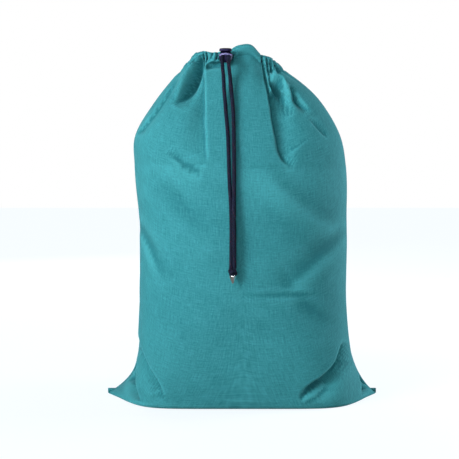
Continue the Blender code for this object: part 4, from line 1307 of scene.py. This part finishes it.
@dataclass
class CordLock:
    """Spring cord lock: rounded barrel, arched brow over the cord holes and a push button."""

    lock: LockPlace
    power: float = 2.6
    sides: int = 72
    bowl_height: float = 0.0105
    lip_height: float = 0.0030
    well: tuple = (0.80, 0.64)
    well_depth: float = 0.0060
    stem: tuple = (0.76, 0.60)
    stem_foot: float = 0.0002
    head_gap: float = 0.0033
    head_height: float = 0.0047
    crown_height: float = 0.0030
    brow_half: float = 0.0098
    brow_lift: float = 0.0006
    brow_arch: float = 0.0034
    brow_radius: float = 0.0017
    brow_set_in: float = 0.0004
    rim_turn: float = 0.0036
    rim_radius: float = 0.0006

    def loft(self, name: str, profile: Array) -> bpy.types.Object:
        """Closed superellipse loft about the lock's upright axis.

        Args:
            name: Piece name.
            profile: Rows of (share of the half width, share of the half depth, height).

        Returns:
            The loft, capped at both ends by rows that shrink to nothing.
        """
        angle = 2 * np.pi * np.arange(self.sides) / self.sides
        x = signed_power(np.cos(angle), 2 / self.power) * self.lock.width / 2
        y = signed_power(np.sin(angle), 2 / self.power) * self.lock.depth / 2
        wide, deep, high = profile.T[..., None]
        points = np.stack([self.lock.x + x * wide, self.lock.middle_y + y * deep,
                           np.broadcast_to(high, (len(profile), self.sides))], axis=-1)
        return make_mesh(name, points, grid_quads(len(profile), self.sides, wrap=True))

    def front(self, x: Array) -> Array:
        """Y of the barrel's front face at places across it, on the superellipse of its section."""
        share = np.minimum(np.abs(x - self.lock.x) / (self.lock.width / 2), 0.999)
        return self.lock.middle_y - self.lock.depth / 2 * (1 - share ** self.power) ** (1 / self.power)

    def build(self, finish: Finishes) -> None:
        """Makes the lock's pieces and puts them on their bodies.

        Args:
            finish: The bag's finishes.
        """
        barrel = self.loft("lock_body", self.barrel_profile())
        dress(barrel, finish.plastic)
        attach(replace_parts(barrel, "lock_barrel"), "lock")
        button = self.loft("lock_button", self.button_profile())
        dress(button, finish.plastic)
        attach(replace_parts(button, "lock_plunger"), "plunger")
        self.build_brow(finish)

    def barrel_profile(self) -> Array:
        """Rounded bowl, straight side, rounded lip and the well that the button's stem goes into.

        Returns:
            Rows of the profile, from the bottom's middle to the well's.
        """
        low, high = self.lock.hole_z - self.lock.below, self.lock.hole_z + self.lock.above
        bowl = quarter_round((0.50, 0.58, low), (1.0, 1.0, low + self.bowl_height), True)
        lip = quarter_round((1.0, 1.0, high - self.lip_height), (0.86, 0.70, high), False)
        floor = high - self.well_depth
        well = [(*self.well, high - 0.0008), (*self.well, floor), (0.0, 0.0, floor)]
        return np.vstack([(0.0, 0.0, low), (0.4, 0.45, low), bowl, lip, well])

    def button_profile(self) -> Array:
        """Stem, rounded skirt and rounded crown of the button.

        Returns:
            Rows of the profile, from the stem's foot to the top.
        """
        high = self.lock.hole_z + self.lock.above
        head_low = high + self.head_gap
        head_high = head_low + self.head_height
        foot = high - self.stem_foot
        stem = [(0.0, 0.0, foot), (*self.stem, foot), (*self.stem, head_low)]
        skirt = quarter_round((0.88, 0.86, head_low), (0.96, 0.96, head_low + 0.0008), True)
        crown = quarter_round((0.96, 0.96, head_high - self.crown_height), (0.74, 0.62, head_high), False)
        return np.vstack([stem, skirt, crown, (0.45, 0.34, head_high + 0.0004),
                          (0.0, 0.0, head_high + 0.0006)])

    def build_brow(self, finish: Finishes) -> None:
        """Arched rib on the barrel's front over the cord holes, coloured light lavender as a painted
        highlight, and a rim round each hole.

        Args:
            finish: The bag's finishes.
        """
        turn = np.linspace(0.04 * np.pi, 0.96 * np.pi, 40)
        x = self.lock.x + self.brow_half * np.cos(turn)
        z = self.lock.hole_z + self.brow_lift + self.brow_arch * np.sin(turn)
        path = np.stack([x, self.front(x) + self.brow_set_in, z], axis=1)
        brow = self.rib("lock_brow", path, self.brow_radius)
        # the rib's light lavender colour is a painted highlight
        dress(brow, finish.brow)
        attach(brow, "lock")
        for side, name in ((Side.LEFT, "left"), (Side.RIGHT, "right")):
            turn = np.linspace(0.0, 2 * np.pi, 40)
            x = self.lock.x + side.value * self.lock.spacing / 2 + self.rim_turn * np.cos(turn)
            z = self.lock.hole_z + self.rim_turn * np.sin(turn)
            rim = self.rib("hole_rim_" + name, np.stack([x, self.front(x), z], axis=1), self.rim_radius)
            dress(rim, finish.plastic)
            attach(rim, "lock")

    @staticmethod
    def rib(name: str, path: Array, radius: float) -> bpy.types.Object:
        """Round rib along a path that keeps to the lock's front, thinner at its two ends.

        Args:
            name: Piece name.
            path: Points of its middle, n x 3.
            radius: Half its thickness.

        Returns:
            The rib.
        """
        size = np.full(len(path), radius)
        size[[0, -1]] *= 0.15
        size[[1, -2]] *= 0.75
        return make_mesh(name, rings(path, size[:, None], 12, (0.0, -1.0, 0.0)),
                         grid_quads(len(path), 12, wrap=True))


# ---- the whole bag ----------------------------------------------------------------------------
@dataclass
class LaundryBag:
    """The bag: two panels, their stitching, the cords and the lock."""

    form: Form = field(default_factory=Form)
    lock: LockPlace = field(default_factory=LockPlace)
    drawn_folds: tuple = (-0.078, 0.066, 0.006)  # stretch without plain gathers, and its fade
    stitch: float = 0.0026
    stitch_gap: float = 0.0006
    thread_radius: float = 0.00022
    stitch_set_out: float = 0.3
    loop_diameter: float = 0.0046
    lead_turn: float = 0.0075
    tunnel_y: float = -0.0380
    loop_clear: float = 0.006
    spring_pressed: float = 0.74

    def build_panels(self, finish: Finishes) -> None:
        """Makes both cloth panels, their hem stitching and the cord inside the casing.

        Args:
            finish: The bag's finishes.
        """
        front = PanelSheet(
            self.form, Face.FRONT,
            gathers=(Gathers(0.0120, 0.0050, 0.022, 0.4, (self.drawn_folds,)),),
            folds=FRONT_FOLDS, lumps_seed=0.8)
        back = PanelSheet(
            self.form, Face.BACK,
            gathers=(Gathers(0.0125, 0.0058, 0.030, 1.7), Gathers(0.0290, 0.0052, 0.070, 0.6)),
            folds=BACK_FOLDS, lumps_seed=2.3)
        for panel, name, nodes in (
                (front, "front_cloth", ("front_panel", "casing_front", "side_seam_left",
                                        "side_seam_right")),
                (back, "back_cloth", ("back_panel", "casing_back", "bottom_seam"))):
            sheet = panel.build(name)
            dress(sheet, finish.cloth)
            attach(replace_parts(sheet, *nodes), "bag")
            length = panel.cloth_length()
            LOG.info("%s is %.3f m long", name, length)
            stitches = self.stitch_row(panel, name)
            dress(stitches, finish.thread)
            if panel is front:
                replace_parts(stitches, "hem_stitching")
            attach(stitches, "bag")
        self.build_drawcord(front, back, finish)

    def stitch_row(self, panel: PanelSheet, name: str) -> bpy.types.Object:
        """Hem stitches: short rounded threads laid end to end along the seam row of a panel.

        Args:
            panel: The panel they hold.
            name: The panel's piece name.

        Returns:
            All the stitches of the panel as one piece.
        """
        row = panel.points[panel.hem_row + 2, 1:-1]
        run, radius = path_run(row), self.thread_radius
        starts = np.arange(0.002, run[-1] - self.stitch, self.stitch + self.stitch_gap)
        places = starts[:, None] + np.linspace(0.0, 1.0, 5)[None, :] * self.stitch
        line = np.stack([np.interp(places, run, row[:, axis]) for axis in range(3)], axis=2)
        middle = np.array((float(row[:, 0].mean()), 0.0, 0.0))
        outward = line - middle
        outward[..., 2] = 0.0
        outward /= np.linalg.norm(outward, axis=2, keepdims=True)
        line = line + outward * (radius * self.stitch_set_out)
        upward = np.broadcast_to(np.array((0.0, 0.0, 1.0)), outward.shape)
        angle = 2 * np.pi * np.arange(6) / 6
        size = radius * np.array((0.25, 0.9, 1.0, 0.9, 0.25))
        ring = (np.cos(angle)[:, None] * outward[:, :, None, :]
                + np.sin(angle)[:, None] * upward[:, :, None, :])
        points = line[:, :, None, :] + ring * size[None, :, None, None]
        one = grid_quads(5, 6, wrap=True)
        quads = (np.arange(len(starts))[:, None, None] * 30 + one[None]).reshape(-1, 4)
        return make_mesh(name.replace("cloth", "hem_stitches"), points, quads)

    def build_drawcord(self, front: PanelSheet, back: PanelSheet, finish: Finishes) -> None:
        """Cord from the lock through the outlet, round the mouth inside the casing and out again.

        Args:
            front: Front panel.
            back: Back panel.
            finish: The bag's finishes.
        """
        runs = []
        for side in (Side.LEFT, Side.RIGHT):
            x = self.lock.x + side.value * self.lock.spacing / 2
            bend = np.linspace(0.0, np.pi / 2, 6)[:-1]
            turn = self.lead_turn
            straight = np.linspace(self.lock.front_y + 0.0005, self.tunnel_y - turn, 4)
            lead = np.stack([np.full(4, x), straight, np.full(4, self.lock.hole_z)], axis=1)
            curve = np.stack([x + side.value * turn * (1 - np.cos(bend)),
                              straight[-1] + turn * np.sin(bend),
                              np.full(5, self.lock.hole_z)], axis=1)
            runs.append(np.vstack([lead[:-1], curve]))
        ahead, behind = front.tunnel_line(), back.tunnel_line()
        loop_left = ahead[ahead[:, 0] < runs[0][-1, 0] - self.loop_clear][::-1]
        loop_right = ahead[ahead[:, 0] > runs[1][-1, 0] + self.loop_clear][::-1]
        stops = np.vstack([runs[0], loop_left[::6], behind[4:-4:8], loop_right[::6], runs[1][::-1]])
        LOG.info("drawcord inside is %.3f m long", path_length(stops))
        cord = Braid(smooth_path(stops, 0.003), self.loop_diameter, sides=20, ring_step=0.0011)
        cord = cord.build("drawcord_loop")
        dress(cord, finish.cord)
        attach(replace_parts(cord, "drawcord"), "bag")

    def dress_kept_nodes(self, finish: Finishes) -> None:
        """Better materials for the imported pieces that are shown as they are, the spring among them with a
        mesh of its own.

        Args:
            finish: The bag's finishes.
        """
        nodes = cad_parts
        dress(nodes["outlet_stitching"], finish.thread)
        spring = dress(nodes["lock_spring"], finish.steel)
        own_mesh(spring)


# ---- camera, floor and light ------------------------------------------------------------------
@dataclass(frozen=True)
class Lamp:
    """Square soft lamp that faces the bag at the height aim; spread is its beam's angle in degrees."""

    name: str
    place: tuple
    size: float
    power: float
    colour: tuple
    aim: float = 0.30
    spread: float = 180.0

    def build(self) -> None:
        """Adds the lamp."""
        data = bpy.data.lights.new(self.name, "AREA")
        data.size, data.energy, data.color = self.size, self.power, self.colour
        data.spread = math.radians(self.spread)
        lamp = bpy.data.objects.new(self.name, data)
        lamp.location = self.place
        facing = Vector((0.0, 0.0, self.aim)) - Vector(self.place)
        lamp.rotation_euler = facing.to_track_quat("-Z", "Y").to_euler()
        bpy.context.scene.collection.objects.link(lamp)


@dataclass(frozen=True)
class Studio:
    """Nearly level camera square on to the front, a white floor and soft light from the front left."""

    camera_at: tuple = (-0.0219, -1.87, 0.4256)
    lens: float = 83.9
    shift_down: float = 0.1297
    tilt: float = math.radians(1.07)
    floor_half: float = 6.0
    floor_colour: tuple = (0.15, 0.145, 0.12)
    floor_glow: tuple = (0.90, 0.95, 1.0)
    light_from: tuple = (-0.10, -0.05, 0.05)
    light_level: float = 0.125
    lamps: tuple = (
        Lamp("key", (-1.50, -1.15, 0.92), 1.5, 11.4, (0.88, 0.95, 1.0), aim=0.44, spread=44.0),
        Lamp("fill", (-0.15, -2.3, 0.70), 1.2, 2.35, (0.88, 0.94, 1.0), aim=0.45, spread=35.0),
        Lamp("top", (0.2, 0.7, 2.2), 1.4, 3.0, (1.0, 1.0, 0.90)),
        Lamp("edge", (1.5, 0.35, 0.50), 0.7, 29.0, (0.86, 0.93, 1.0)),
        Lamp("back", (-0.9, 2.0, 1.0), 1.4, 13.0, (0.90, 0.96, 1.0)))

    def build_camera(self) -> None:
        """Adds the camera."""
        data = bpy.data.cameras.new("camera")
        data.lens = self.lens
        data.sensor_width = 36.0
        data.shift_y = -self.shift_down
        camera = bpy.data.objects.new("camera", data)
        camera.location = self.camera_at
        camera.rotation_euler = (math.pi / 2 - self.tilt, 0.0, 0.0)
        bpy.context.scene.collection.objects.link(camera)
        bpy.context.scene.camera = camera

    def build_set(self) -> None:
        """Adds the floor, the lamps and the white surroundings."""
        self.build_floor()
        for lamp in self.lamps:
            lamp.build()
        self.surround()
        bpy.context.scene.view_settings.view_transform = "Standard"

    def build_floor(self) -> None:
        """White floor that looks a little darker near the bag and catches its soft shadow."""
        half = self.floor_half
        floor = make_mesh("floor", np.array(((-half, -half, 0.0), (half, -half, 0.0),
                                             (half, half, 0.0), (-half, half, 0.0))),
                          np.array(((0, 1, 2, 3),)))
        graph = Graph.new("white floor")
        seen = graph.node("LightPath").outputs["Is Camera Ray"]
        place = graph.node("TexCoord").outputs["Object"]
        away = graph.node("VectorMath", {0: place}, operation="LENGTH").outputs["Value"]
        glow = graph.node("MapRange", {"Value": away, "From Min": 0.35, "From Max": 1.6,
                                       "To Min": 0.90, "To Max": 1.0}).outputs[0]
        floor.data.materials.append(graph.surface({
            "Base Color": (*self.floor_colour, 1.0), "Roughness": 0.9,
            "Emission Color": (*self.floor_glow, 1.0),
            "Emission Strength": graph.math("MULTIPLY", seen, glow)}))

    def surround(self) -> None:
        """White surroundings; the light they give is the level plus the slant of its direction towards
        light_from, and the camera sees them plain white."""
        world = bpy.data.worlds.new("white surroundings")
        world.use_nodes = True
        graph = Graph(world)
        direction = graph.node("TexCoord").outputs["Generated"]
        slant = graph.node("VectorMath", {0: direction, 1: self.light_from}, operation="DOT_PRODUCT")
        light = graph.node("Math", {0: slant.outputs["Value"], 1: self.light_level},
                           operation="ADD", use_clamp=True).outputs[0]
        seen = graph.node("LightPath").outputs["Is Camera Ray"]
        background = world.node_tree.nodes["Background"]
        background.inputs["Color"].default_value = (1.0, 1.0, 1.0, 1.0)
        world.node_tree.links.new(graph.math("MAXIMUM", seen, light), background.inputs["Strength"])
        bpy.context.scene.world = world


def main() -> None:
    """Builds the scene, camera and cords first."""
    logging.basicConfig(level=logging.INFO)
    studio, bag = Studio(), LaundryBag()
    studio.build_camera()
    finish = Finishes.make()
    CordTails(bag.lock).build(finish)
    bag.build_panels(finish)
    CordLock(bag.lock).build(finish)
    bag.dress_kept_nodes(finish)
    studio.build_set()


if __name__ == "__main__":
    main()
